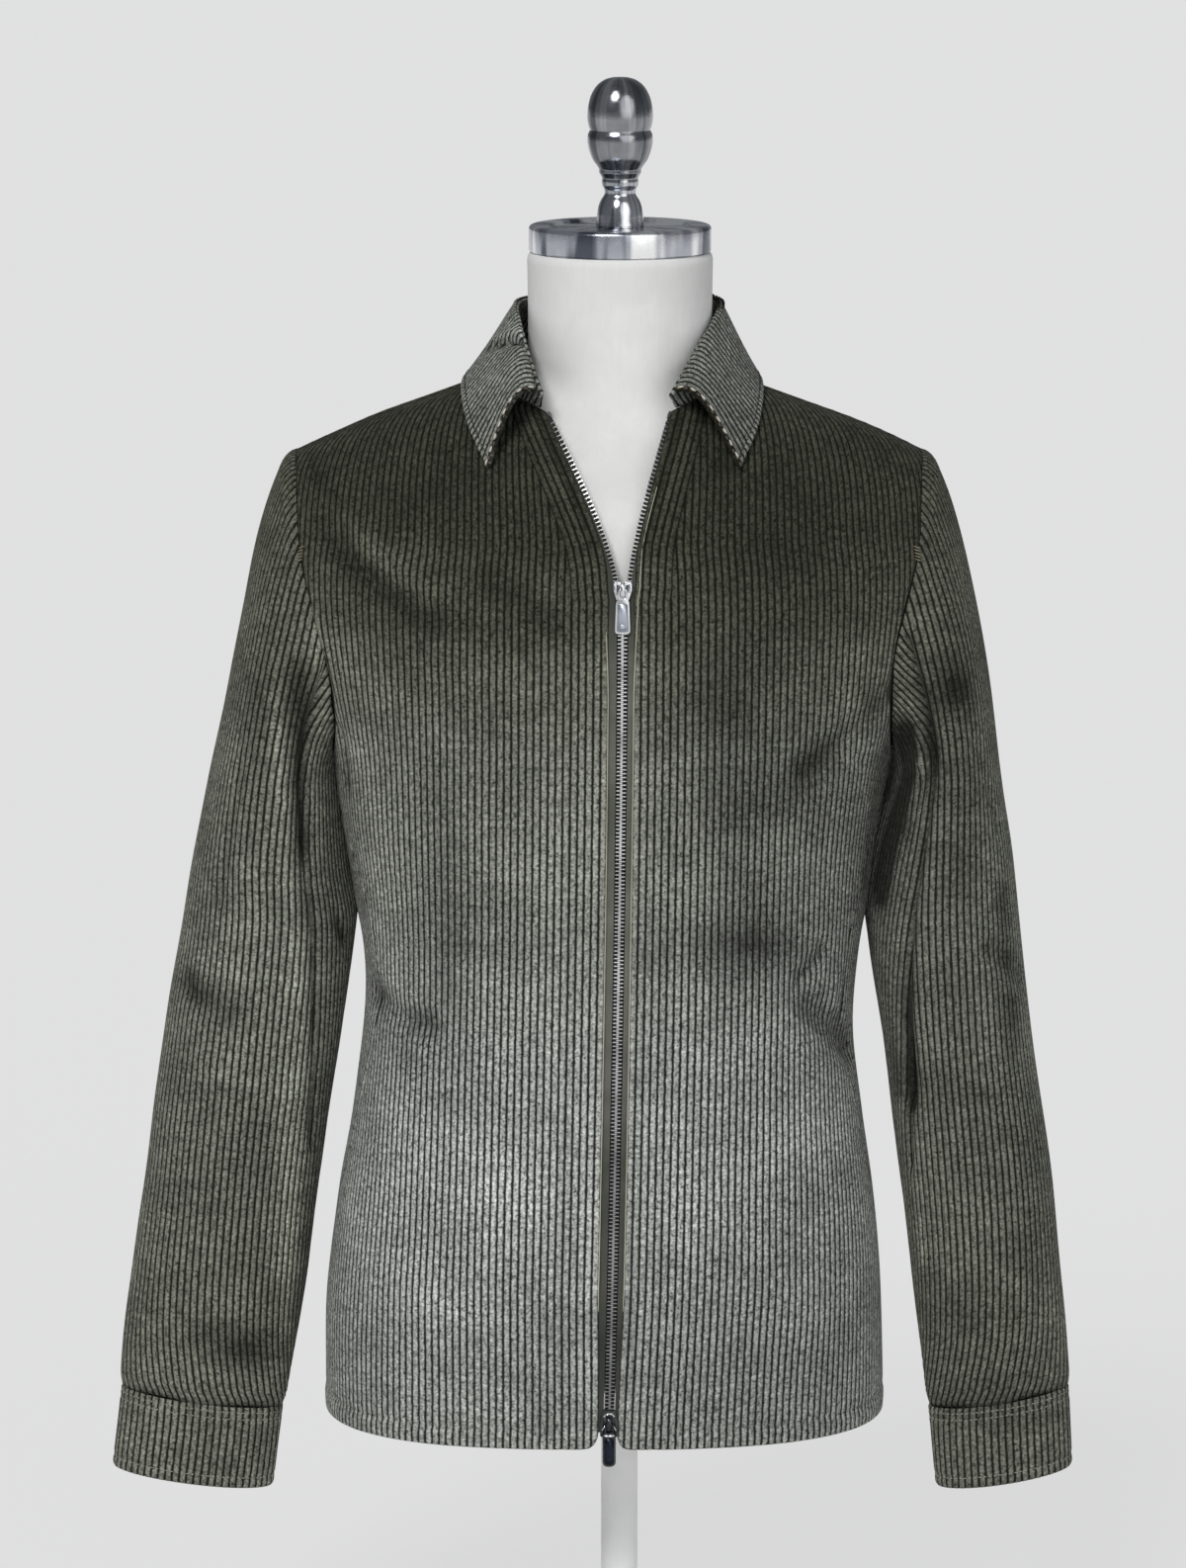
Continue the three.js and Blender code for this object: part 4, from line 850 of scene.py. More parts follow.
def metal(name, colour, dark, roughness, stretch=(1, 1, 12), scratch=0.12, bands=0.0, stops=()):
    """bands is how strongly light and dark bands of painted reflection are laid into the metal's colour."""
    material, n, shader = new_material(name)
    place = n.object_place()
    wear = n.add("Group", node_tree=WEAR, Vector=place, Stretch=stretch).outputs
    shade = n.mix(n.spread(wear["Smudges"], 0.35, 0.75), colour, dark)
    if bands:
        # Painted reflection: light and dark bands laid into the colour, upright round the side and radial on
        # the top.
        level = n.times(place, (1, 1, 0), kind="VectorMath")
        round_axis = n.sums("NORMALIZE", level, kind="VectorMath")
        upright = n.sums("MULTIPLY_ADD", place, (0.4, 0.4, 2.5), round_axis, kind="VectorMath")
        reflection_noise = n.noise(upright, 2.6, 2, 0.5)
        shade = n.mix(n.spread(reflection_noise, 0.51, 0.62, 0, bands), shade, (1.0, 1.0, 1.0))
        shade = n.mix(n.spread(reflection_noise, 0.47, 0.40, 0, 0.9 * bands), shade, (0.06, 0.07, 0.09))
    rough = n.spread(wear["Scratches"], 0.3, 0.7, roughness * 0.75, roughness * 1.35)
    n.fill(shader, Base_Color=painted_light_by_height(n, place, shade, stops), Metallic=1.0, Roughness=rough)
    bumped(n, shader, wear["Scratches"], scratch)
    return material


canvas = woven("Form canvas", (0.67, 0.67, 0.655), (0.76, 0.76, 0.745), 0.0006)
# The tape is painted darker towards the bottom and at the top and lighter in between: painted shade and
# light.
zip_tape = woven("Zip tape", (0.065, 0.07, 0.052), (0.15, 0.155, 0.13), 0.0009,
                 stops=[(0.20, 0.3), (0.33, 0.4), (0.45, 0.75), (0.6, 1.1), (0.72, 0.8), (0.76, 0.5)])
cream_cloth = woven("Cream facing edge", (0.36, 0.34, 0.26), (0.48, 0.46, 0.37), 0.0004)
# Near black: the armhole seam's strip is painted shade in the seam's gap.
seam_cloth = woven("Turned in seam edges in painted shade", (0.018, 0.019, 0.012), (0.035, 0.037, 0.026), 0.0004)
# Near black: the zip cord, with painted shade in the gaps between the teeth.
cord_cloth = woven("Zip cord", (0.010, 0.010, 0.009), (0.03, 0.03, 0.026), 0.0004)
# The closed teeth are painted darker towards the bottom: painted shade and a painted dimmer reflection.
teeth_metal = metal("Zip teeth", (0.84, 0.84, 0.84), (0.48, 0.48, 0.48), 0.3,
                    stops=[(0.20, 0.35), (0.36, 0.5), (0.52, 0.95), (0.7, 1.0)])
open_teeth_metal = metal("Open zip teeth", (0.46, 0.46, 0.45), (0.26, 0.26, 0.255), 0.36)
panel_metal = metal("Blue grey panel", (0.54, 0.58, 0.65), (0.42, 0.46, 0.52), 0.38, scratch=0.05)
navy_metal = metal("Navy panel", (0.030, 0.036, 0.050), (0.015, 0.018, 0.026), 0.3, scratch=0.05)
# Dark: painted shade in the sliders' sunk panels.
recess_shade_metal = metal("Slider recess shade", (0.13, 0.13, 0.138), (0.05, 0.05, 0.054), 0.4)
bright_metal = metal("Bright slider", (0.80, 0.81, 0.83), (0.55, 0.56, 0.58), 0.2)
dark_metal = metal("Dark slider", (0.10, 0.105, 0.11), (0.03, 0.032, 0.036), 0.22)
# The cap and knob take painted reflection bands; the knob's stops also paint light and dark bands of
# reflection by height.
turned_metal = metal("Turned cap metal", (0.50, 0.52, 0.57), (0.36, 0.38, 0.43), 0.22, (1, 1, 40), 0.25, 1.0)
cast_metal = metal("Knob metal", (0.62, 0.64, 0.68), (0.32, 0.34, 0.37), 0.16, (1, 1, 6), 0.3, 0.7,
                   stops=[(0.968, 0.85), (1.000, 0.85), (1.012, 0.95), (1.018, 1.1), (1.027, 1.1),
                          (1.030, 0.7), (1.037, 0.8), (1.040, 1.1), (1.0445, 1.0), (1.048, 0.6),
                          (1.063, 0.5)])
seam_thread = thread("Seam thread", (0.10, 0.105, 0.08))
cuff_thread = thread("Cuff thread", (0.30, 0.30, 0.26))
bar_thread = thread("Bar tack thread", (0.20, 0.17, 0.11))
cream_thread = thread("Cream cut ends", (0.66, 0.62, 0.52))
brown_thread = thread("Brown cut ends", (0.09, 0.065, 0.05))
# Near black: the collar's stitches sunk in their groove, partly the thread's tone and partly painted shade of
# the groove.
dark_thread = thread("Sunk thread in painted shade", (0.018, 0.018, 0.013))


def painted(name, colour):
    material, n, shader = new_material(name)
    place = n.object_place()
    dust = n.noise(place, 18, 3)
    n.fill(shader, Base_Color=n.mix(n.spread(dust, 0.3, 0.75), colour, shaded(colour, 0.9)),
           Roughness=n.spread(dust, 0.3, 0.7, 0.38, 0.52))
    bumped(n, shader, n.noise(place, 300, 2), 0.1)
    return material


stand_paint = painted("Stand paint", (0.86, 0.86, 0.855))


# ---- fronts and back ----
def body_levels():
    hem = [HEM, 160.5, 161.4, 162.8, 164.8, 168, HEM + HEM_CORNER["high"], HEM + HEM_STITCH, 174.8, 178]
    straight = np.linspace(183, ARMHOLE_LOW, 62)
    oval = ARMHOLE["z"] - ARMHOLE["height"] * np.cos(np.linspace(0, math.pi, 35))[1:-1]
    shoulder = [789, 793, 797, 801, 805, 809, 813, 816.5, OPEN_END, 821, 823.5, 826, 829, NECK_POINT]
    return np.concatenate([hem, straight, oval, [ARMHOLE_TOP], shoulder])


LEVELS = body_levels()


def hem_shape(z):
    return -0.9 * bell(z - HEM - HEM_STITCH, 1.6) + 0.5 * bell(z - HEM - HEM_STITCH / 2, 5)


def front_row(z, name, strip, main):
    """Places along one level row of a front: where each column lies, and its place across the wales."""
    side = SIDES[name]
    start = turn_at_across(z, zip_line(z) + side * edge_gap(z, name), side)
    turns = np.linspace(start, seam_turn(z, side, -1), LEVEL_STEPS)
    arc = run_length(body_point(z, turns, side))
    end = arc[-1] - TOUCH
    spread = opening(z, name)
    low = spread
    if z < HEM + HEM_CORNER["high"]:
        down = (HEM + HEM_CORNER["high"] - z) / HEM_CORNER["high"]
        low = HEM_CORNER[name] * (1 - math.sqrt(1 - down * down))
    if z > OPEN_END:
        neck = neck_across(z, side) - edge_gap(z, name)
        low = spread + (neck - spread) * (z - OPEN_END) / (NECK_POINT - OPEN_END)
    crease = spread + STRIP
    dense = np.linspace(STRIP, main[-1] + 50, 800)
    leaned = dense + 0.3 * spread * np.exp(-(dense - STRIP) / 45)
    wanted = np.interp(main, dense, leaned)
    beside = np.clip(spread + strip, low, end)
    beyond = np.clip(wanted, max(crease, low), end)
    place = np.concatenate([beside, beyond])
    across = np.concatenate([beside - spread, np.interp(beyond, leaned, dense)])
    return np.interp(place, arc, turns), place, across, end, crease, spread, low


def front_cloth(name):
    side = SIDES[name]
    strip = wale_columns(0, STRIP)
    main = wale_columns(STRIP, MOST_WALES["body"])
    rows = [front_row(z, name, strip, main) for z in LEVELS]
    widest = max(row[2].max() for row in rows)
    keep = len(strip) + int(np.searchsorted(main, widest)) + 1
    turn, place, across = (np.array([row[i][:keep] for row in rows]) for i in (0, 1, 2))
    end, crease, spread, low_edge = (np.array([[row[i]] for row in rows]) for i in (3, 4, 5, 6))
    z = LEVELS[:, None] + 0 * turn
    points = body_point(z, turn, side)
    out = body_normal(z, turn, side)
    parted = np.clip(spread / 16, 0, 1)
    gap = np.maximum(groove(across), seam_edge(end - place))
    gap = np.maximum(gap, seam_edge(np.abs(place - crease)))
    folds = fold_shift(points)
    # Painted shade along the crease beside the zip strip and in the trough beside the opened edge, and a
    # painted highlight on the ridge beyond it.
    tone = nap_and_shade_tone(points, folds) - 0.15 * bell(place - crease, 2)
    tone -= parted * (0.7 * bell(place - low_edge - 7, 3) - 0.4 * bell(place - low_edge - 11, 3))
    shift = -GROOVE_DEPTH * gap - 0.2 * bell(end - place, 2.6) + hem_shape(z)
    shift += parted * (1.2 * bell(place - low_edge - 13, 8) - 1.0 * bell(place - crease, 6))
    shift -= 1.2 * parted * bell(place - low_edge - 6, 3)
    shift += -0.6 * bell(place - crease, 2.2) - 1.4 * bell(place - low_edge, 1.6)
    shift += folds + slow_swell(points)
    cloth_piece(f"front_{name}", points + out * shift[..., None], out, across, z, body_corduroy, tone=tone)


def back_cloth():
    main = wale_columns(0, MOST_WALES["body"])
    halves = {}
    for name, side in SIDES.items():
        rows = []
        for z in LEVELS:
            turns = np.linspace(180, seam_turn(z, side, 1), LEVEL_STEPS)
            arc = run_length(body_point(z, turns, side))
            end = arc[-1] - TOUCH
            place = np.minimum(main, end)
            rows.append((np.interp(place, arc, turns), place, end))
        halves[name] = rows
    widest = max(row[2] for rows in halves.values() for row in rows)
    keep = int(np.searchsorted(main, widest)) + 1
    parts = []
    for name, side in SIDES.items():
        turn, place = (np.array([row[i][:keep] for row in halves[name]]) for i in (0, 1))
        end = np.array([[row[2]] for row in halves[name]])
        z = LEVELS[:, None] + 0 * turn
        points = body_point(z, turn, side)
        out = body_normal(z, turn, side)
        gap = np.maximum(groove(place), seam_edge(end - place))
        folds = fold_shift(points)
        shift = -GROOVE_DEPTH * gap - 0.2 * bell(end - place, 2.6) + hem_shape(z)
        shift += folds + slow_swell(points)
        parts.append((points + out * shift[..., None], out, side * place, z, nap_and_shade_tone(points, folds)))
    joined = [np.concatenate([first[:, ::-1], second[:, 1:]], 1) for first, second in zip(*parts)]
    cloth_piece("back", *joined[:4], body_corduroy, tone=joined[4])


# ---- sleeves ----
def arm_point(name, z, angle):
    """angle is 0 on the outer side of the arm, 90 degrees in front and 180 underneath."""
    table = SLEEVES[name]
    reach = np.cos(angle) * read(table, "half", z)
    x = read(table, "centre", z) + SIDES[name] * reach
    y = read(table, "y", z) - np.sin(angle) * read(table, "depth", z)
    return np.stack([x, y, z + reach * SLEEVE_TILT[name]], -1)


def armhole_frames(name):
    """The armhole's line, the body's outward direction on it, and the way into the sleeve."""
    side = SIDES[name]
    angles = np.linspace(-1.2 * math.pi, 1.2 * math.pi, 865)
    z = ARMHOLE["z"] + ARMHOLE["height"] * np.cos(angles)
    y = ARMHOLE["y"] - ARMHOLE["depth"] * np.sin(angles)
    turn = np.array([90.0 if abs(math.sin(a)) < 1e-6 and math.cos(a) > 0 else turn_at_depth(h, d, side)
                     for a, h, d in zip(angles, z, y)])
    points = body_point(z, turn, side)
    out = body_normal(z, turn, side)
    away = unit(np.cross(out, np.gradient(points, axis=0)))
    middle = np.array([0, ARMHOLE["y"], ARMHOLE["z"]]) - points
    middle[:, 0] = 0
    steep = np.abs(away[:, 0]) >= 0.9
    flip = np.where(steep, np.sign(away[:, 0]) * side, np.where((away * middle).sum(-1) < 0, -1, 1))
    return angles, points, out, away * flip[:, None]


def armhole_seam(name):
    """The seam's turned-in edges, a flat strip behind the armhole seam all the way round, coloured near black
    as painted shade in the seam's gap.
    """
    angles, points, out, away = armhole_frames(name)
    bm = bmesh.new()
    rings = []
    for angle in np.linspace(-math.pi, math.pi, 181):
        middle, across, facing = (read_rows(angle, angles, values) for values in (points, away, out))
        rings.append(ring_edges(bm, [to_metres(middle + wide * across - deep * facing)
                                     for wide, deep in ((-4, 1.7), (4, 1.7), (4, 2.6), (-4, 2.6))]))
    bridge_rings(bm, rings, filled=False)
    bmesh.ops.remove_doubles(bm, verts=bm.verts, dist=0.05 * MM)
    from_bmesh(f"armhole_seam_{name}", bm, seam_cloth)


def bezier(part, start, first, second, end):
    """A curve from start to end, drawn towards two points between them."""
    t = np.asarray(part, float)[..., None]
    return (1 - t) ** 3 * start + 3 * t * (1 - t) ** 2 * first + 3 * t * t * (1 - t) * second + t ** 3 * end


def cap_point(name, frames, angle, part):
    """The sleeve's head: from the armhole (part 0) to the arm's first ring (part 1)."""
    angles, points, out, away = frames
    lead = read_rows(angle, angles, away)
    p0 = read_rows(angle, angles, points) + 2 * TOUCH * lead + CAP["proud"] * read_rows(angle, angles, out)
    first = np.full_like(angle, SLEEVE_START)
    p3 = arm_point(name, first, angle)
    rise = p3 - arm_point(name, first - 20, angle)
    rise[..., 1] = 0
    length = np.linalg.norm(p3 - p0, axis=-1, keepdims=True)
    leaving = unit(lead + 0.6 * np.array([SIDES[name], 0, 0]))
    return bezier(part, p0, p0 + leaving * CAP["reach"] * length, p3 + unit(rise) * CAP["hang"] * length, p3)


def arm_out(name, z, angle):
    turn = arm_point(name, z, angle + 0.01) - arm_point(name, z, angle - 0.01)
    return unit(np.cross(turn, arm_point(name, z - 1, angle) - arm_point(name, z + 1, angle)))


def arm_angles(name, z, places):
    """Angles round the arm at the given distances from its outer line, and half the way round."""
    angles = np.linspace(0, math.pi, 721)
    arc = run_length(arm_point(name, np.full_like(angles, z), angles))
    return np.sign(places) * np.interp(np.abs(places), arc, angles), arc[-1]


def outward(points, out):
    """Turns a tube's directions away from its middle line."""
    middle = points[-1].mean(0)
    return out * np.sign(((points[-1] - middle) * out[-1]).sum(-1).mean())


def cap_table(name):
    """The sleeve's head measured closely: points, outward directions, levels, distance from the armhole."""
    frames = armhole_frames(name)
    angle, part = np.meshgrid(np.linspace(-math.pi, math.pi, 541), np.linspace(0, 1, 121), indexing="ij")
    points = cap_point(name, frames, angle, part)
    out = unit(np.cross(np.gradient(points, axis=0), np.gradient(points, axis=1)))
    outer = points[270, 60] - points[:, 60].mean(0)
    out *= np.sign(out[270, 60] @ outer)
    centre = read(SLEEVES[name], "centre", SLEEVE_START)
    level = points[..., 2] - SLEEVE_TILT[name] * SIDES[name] * (points[..., 0] - centre)
    steps = np.linalg.norm(np.diff(points, axis=1, prepend=points[:, :1]), axis=-1)
    return angle[:, 0], np.dstack([points, out, np.cumsum(steps, axis=1)]), level


def cap_row(table, level_wanted):
    """A level section of the sleeve's head, from its outer line both ways to the armhole."""
    angles, values, level = table
    middle = len(angles) // 2
    halves = []
    for way in (1, -1):
        index = middle + way * np.arange(middle + 1)
        at_armhole = np.minimum.accumulate(level[index, 0])
        last = np.interp(level_wanted, at_armhole[::-1], np.arange(middle + 1)[::-1])
        spots = []
        for spot in np.linspace(0, last, 240):
            low = int(min(spot, middle - 1))
            share = spot - low
            between = []
            for k in (low, low + 1):
                falling = np.minimum.accumulate(level[index[k]])[::-1]
                place = np.interp(level_wanted, falling, np.arange(level.shape[1])[::-1])
                cell = min(int(place), level.shape[1] - 2)
                mix = place - cell
                between.append(values[index[k], cell] * (1 - mix) + values[index[k], cell + 1] * mix)
            spots.append(between[0] * (1 - share) + between[1] * share)
        halves.append(np.array(spots))
    return halves


# Where the sleeve's wales run into a fold beside the armhole: the fold's place round the arm at the
# armhole's lowest point, and how far the wales behind it lean. 1 is the front and -1 the back.
SLEEVE_FOLD = {
    "left": {1: (101.0, 40.0), -1: (116.0, 16.0)},
    "right": {1: (112.0, 18.0), -1: (116.0, 14.0)},
}


def lean_places(name, columns, level, ends):
    """Where the sleeve's wales lie round one level row, and their places across the cloth."""
    place = np.empty_like(columns)
    across = np.empty_like(columns)
    crease = np.empty_like(columns)
    for way, end in zip((1, -1), ends):
        pick = columns >= 0 if way > 0 else columns < 0
        start, most = SLEEVE_FOLD[name][way]
        start = start + max(0.0, 600 - level) * 0.123
        lean = most * float(smooth_step(300, 600, level) * (1 - smooth_step(600, 692, level)))
        u = np.abs(columns[pick])
        behind = u > start
        spot = np.where(behind, np.maximum(u - lean, start), u)
        across[pick] = way * np.where(behind, np.clip(u, start + lean, end + lean), np.minimum(u, end))
        place[pick] = way * np.minimum(spot, end)
        near = np.abs(np.minimum(spot, end) - start)
        crease[pick] = np.where(start < end - 1, near, 1000) + 1000 * (lean < 1)
    return place, across, crease


def both_ways(places):
    """Columns both ways from the middle one."""
    return np.concatenate([-places[:0:-1], places])


def sleeve_cloth(name):
    columns = both_ways(wale_columns(0, MOST_WALES["sleeve"]))
    table = cap_table(name)
    top = table[2][len(table[0]) // 2, 0]
    drops = np.array([0, 0.4, 1.2, 2.4, 4, 6, 8.5, 11.5, 15, 19, 23.5, 28.5, 34])
    levels = np.concatenate([top - drops, np.linspace(top - 40, SLEEVE_START + 0.01, 27)])
    rows = []
    for level in levels:
        front, back = cap_row(table, level)
        reach = [run_length(half_row[:, :3]) for half_row in (front, back)]
        place, across, crease = lean_places(name, columns, level, (reach[0][-1], reach[1][-1]))
        ends = np.where(columns >= 0, reach[0][-1], reach[1][-1])
        line = np.concatenate([-reach[1][:0:-1], reach[0]])
        found = read_rows(place, line, np.concatenate([back[:0:-1], front]))
        rows.append((found, place, across, ends, crease, np.full_like(place, level)))
    arm_levels = [*np.arange(SLEEVE_START - 5, 184, -ROW), 180, 176, 172.5, 169.5, CUFF_SEAM + SEAM]
    for level in arm_levels:
        _, end = arm_angles(name, level, columns)
        place, across, crease = lean_places(name, columns, level, (end, end))
        angle, _ = arm_angles(name, level, place)
        z = np.full_like(angle, level)
        point = arm_point(name, z, angle)
        out = arm_out(name, z, angle)
        out = outward(point[None], out[None])[0]
        found = np.concatenate([point, out, np.full(point.shape[:-1] + (1,), 1000.0)], -1)
        rows.append((found, place, across, np.full_like(place, end), crease, z))
    found, place, across, ends, crease, z = (np.array([row[i] for row in rows]) for i in range(6))
    points, out, from_cap = found[..., :3], unit(found[..., 3:6]), found[..., 6]
    along = -run_length(points[:, len(columns) // 2])[:, None] + 0 * across
    to_cuff = z - CUFF_SEAM
    to_seam = ends - np.abs(place)
    gap = np.maximum(np.maximum(groove(across), seam_edge(to_seam)), seam_edge(crease))
    shift = -GROOVE_DEPTH * gap - 0.3 * bell(from_cap, 2.5) + 1.0 * bell(from_cap - 9, 7)
    shift += -1.0 * bell(to_cuff, 3.5) - 1.0 * bell(to_seam, 2.6) * bell(np.maximum(z - 590, 0), 8)
    shift += -1.8 * bell(crease, 4)
    fade = np.clip(from_cap / 12, 0, 1)
    folds = fold_shift(points)
    # Painted shade along the crease where the wales lean and at the seam to the cuff.
    tone = nap_and_shade_tone(points, fade * folds) - 0.5 * bell(crease, 4) - 0.3 * bell(to_cuff, 3)
    shift += fade * (folds + slow_swell(points))
    shift += 1.4 * np.sin(across / 9.5 + 0.8) * np.exp(-np.maximum(to_cuff, 0) / 22)
    points = points + out * shift[..., None]
    cloth_piece(f"sleeve_{name}", points, out, across, along, sleeve_corduroy, tone=tone)


CUFF_ROWS = {"top": (3.5, 8.0), "bottom": 7.0}


def cuff_cloth(name):
    columns = both_ways(wale_columns(0, MOST_WALES["cuff"]))
    levels = np.array([CUFF_SEAM, 165.4, 164, 162.5, 161, 158, 156, 152, 146, 140, 134, 128, 122, 119, 117,
                       114.5, 113, 112.3, CUFF_END])
    rows = [arm_angles(name, z, columns) for z in levels]
    angle = np.array([row[0] for row in rows])
    limit = np.array([[row[1]] for row in rows])
    z = levels[:, None] + 0 * angle
    points = arm_point(name, z, angle)
    out = outward(points, arm_out(name, z, angle))
    across = np.clip(columns, -limit, limit)
    gap = np.maximum(groove(across), seam_edge(limit - np.abs(across)))
    edge = np.minimum(CUFF_SEAM - z, z - CUFF_END)
    shift = 0.9 - GROOVE_DEPTH * gap - 1.1 * bell(edge, 1.1)
    for height in CUFF_ROWS["top"]:
        shift -= 0.6 * bell(CUFF_SEAM - z - height, 1.2)
    shift -= 0.6 * bell(z - CUFF_END - CUFF_ROWS["bottom"], 1.2)
    shift += 0.5 * slow_swell(points)
    cloth_piece(f"cuff_{name}", points + out * shift[..., None], out, across, z, sleeve_corduroy,
                DOUBLE_CLOTH, nap_and_shade_tone(points, 0 * shift), under=f"sleeve_{name}_cloth")


# ---- collar ----
def collar_lines(s):
    side = np.where(s < 0, -1, 1)
    station = STATIONS - np.abs(s)
    pick = lambda column: read(COLLAR, column, station)
    roll = np.stack([pick("centre") + side * pick("roll_x"), pick("roll_y"), pick("roll_z")], -1)
    edge = np.stack([pick("centre_edge") + side * pick("edge_x"), pick("edge_y"), pick("edge_z")], -1)
    return side, station, roll, edge


def collar_point(s, part):
    _, station, roll, edge = collar_lines(s)
    out = edge - roll
    out[..., 2] = 0
    out = unit(out)
    up = np.array([0, 0, 1.0])
    front = np.clip(1 - station / 1.8, 0, 1)[..., None]
    rise = roll + (2 + 17 * front) * out + up * (4.5 + 2.5 * front)
    drop = edge + 0.45 * (roll - edge) + (6 * front - 1) * out + up * (8 * front - 2.5)
    return bezier(part, roll, rise, drop, edge)


def collar_columns():
    """Stations of the collar's wales, and their places across the cloth."""
    dense = np.linspace(-STATIONS, STATIONS, 1201)
    arc = run_length(collar_point(dense, 0.6 + 0 * dense))
    arc -= arc[600]
    half = wale_columns(0, min(-arc[0], arc[-1]) - WALE)
    places = np.concatenate([[arc[0]], -half[::-1][:-1], half, [arc[-1]]])
    return np.interp(places, arc, dense), places


COLLAR_BORDER = 4.5
COLLAR_CREASE = [
    ((-61, -42, 858), (-75, -30, 857), 3, -4.5),
    ((-75, -30, 857), (-92, 0, 850), 2.6, -4.5),
    ((-61, -38, 866), (-88, -4, 860), 4, 1.6),
    ((-70, -62, 846), (-88, -44, 822), 8, 1.2),
]


def falls(points):
    """Distance down each column of a grid of points."""
    return np.array([run_length(column) for column in np.swapaxes(points, 0, 1)]).T


def collar_cloth():
    s, places = collar_columns()
    parts = np.array([0, 0.04, 0.09, 0.15, 0.22, 0.3, 0.38, 0.46, 0.54, 0.62, 0.7, 0.78, 0.85, 0.9, 0.93,
                      0.955, 0.98, 1])
    stations = s[None, :] + 0 * parts[:, None]
    part = parts[:, None] + 0 * stations
    points = collar_point(stations, part)
    turn = collar_point(stations + 0.02, part) - collar_point(stations - 0.02, part)
    down = collar_point(stations, part + 0.01) - collar_point(stations, part - 0.01)
    out = unit(np.cross(turn, down))
    out *= np.sign(out[10, len(s) // 2, 1])
    across = places[None, :] + 0 * stations
    fall = falls(points)
    to_edge = fall[-1] - fall
    to_end = np.minimum(np.abs(across - places[0]), np.abs(places[-1] - across))
    creases = along_lines(points, COLLAR_CREASE)
    shift = -0.6 * groove(across) - 1.0 * bell(to_edge, 1.2) - 0.9 * bell(to_end, 1.5)
    shift += -0.9 * bell(to_edge - COLLAR_BORDER, 1.1) + 0.5 * slow_swell(points)
    shift += creases
    # Painted light and shade: a painted highlight along the outer edge, the wearer's left half painted
    # darker, the creases painted darker and lighter, and the two ends painted darker.
    tone = 0.3 * bell(to_edge, 3) - 0.3 * (stations > 0) + 0.2 * creases
    tone -= 0.3 * bell(to_end, 2.5)
    cloth_piece("collar", points + out * shift[..., None], out, across, -fall, collar_corduroy, DOUBLE_CLOTH,
                np.clip(tone, -1, 1), under="collar_stand_cloth")
    return points, out


def neckline_point(s):
    side = -1 if s < 0 else 1
    name = "right" if side < 0 else "left"
    station = STATIONS - abs(s)
    if station <= SHOULDER_STATION:
        z = OPEN_END + (NECK_POINT - OPEN_END) * station / SHOULDER_STATION
        edge = EDGE_GAP[name] + opening(OPEN_END, name)
        edge += (neck_across(z, side) - edge) * (z - OPEN_END) / (NECK_POINT - OPEN_END)
        return body_point(z, turn_at_across(z, zip_line(z) + side * edge, side), side)
    centre = float(read(BODY, "centre", NECK_POINT))
    start = turn_at_across(NECK_POINT, centre + side * NECK_HALF, side)
    part = (station - SHOULDER_STATION) / (STATIONS - SHOULDER_STATION)
    return body_point(NECK_POINT, start + (180 - start) * part, side)


def collar_stand_cloth():
    s = np.linspace(-STATIONS, STATIONS, 241)
    side, station, roll, _ = collar_lines(s)
    base = np.array([neckline_point(value) for value in s]) + np.array([0, 0, 0.7])
    front = np.clip(1 - station / 2, 0, 1)[:, None] ** 2
    end = np.stack(np.broadcast_arrays(STAND_CENTRE + side * STAND_FRONT[0], *STAND_FRONT[1:]), -1)
    top = (roll + np.array([0, 0, -1.2])) * (1 - front) + end * front
    parts = np.linspace(0, 1, 9)[:, None, None]
    points = base[None] * (1 - parts) + top[None] * parts
    out = np.cross(np.gradient(points, axis=1), np.gradient(points, axis=0))
    out[..., 2] = 0
    out = unit(out)
    out *= np.sign(out[4, 120, 1])
    across = run_length(points[4])[None, :] + 0 * points[..., 0]
    shift = -0.6 * groove(across)
    cloth_piece("collar_stand", points + out * shift[..., None], out, across, points[..., 2], collar_corduroy)


# ---- small things in rows ----
def lay_rows(name, spots, size, material):
    """A row of small long grains, such as stitches. spots holds (middle, along, out) in millimetres."""
    bm = bmesh.new()
    sized = Matrix.Diagonal((size[0] * MM / 2, size[1] * MM / 2, size[2] * MM / 2, 1))
    for middle, along, out in spots:
        run = Vector(along).normalized()
        up = Vector(out)
        up = (up - run * up.dot(run)).normalized()
        turned = Matrix((run, up.cross(run), up)).transposed().to_4x4()
        place = Matrix.Translation(Vector(to_metres(middle)))
        bmesh.ops.create_uvsphere(bm, u_segments=6, v_segments=4, radius=1, matrix=place @ turned @ sized)
    from_bmesh(name, bm, material)


def evenly(points, out, pitch=STITCH_PITCH):
    """Middles, directions and outward directions at even steps along a line on the cloth."""
    arc = run_length(points)
    spots = []
    for step in np.arange(pitch / 2, arc[-1], pitch):
        run = read_rows(min(step + 0.5, arc[-1]), arc, points) - read_rows(step - 0.5, arc, points)
        spots.append((read_rows(step, arc, points), run, read_rows(step, arc, out)))
    return spots


def hem_stitches():
    spots = []
    z = HEM + HEM_STITCH
    for name, side in SIDES.items():
        start = turn_at_across(z, zip_line(z) + side * (edge_gap(z, name) + 29), side)
        turns = np.linspace(start, 180, 300)
        points = body_point(z, turns, side)
        out = body_normal(z, turns, side)
        spots += evenly(points + out * (fold_shift(points) + slow_swell(points) - 1.0)[:, None], out)
    lay_rows("hem_stitching", spots, (2.7, 0.75, 0.7), seam_thread)


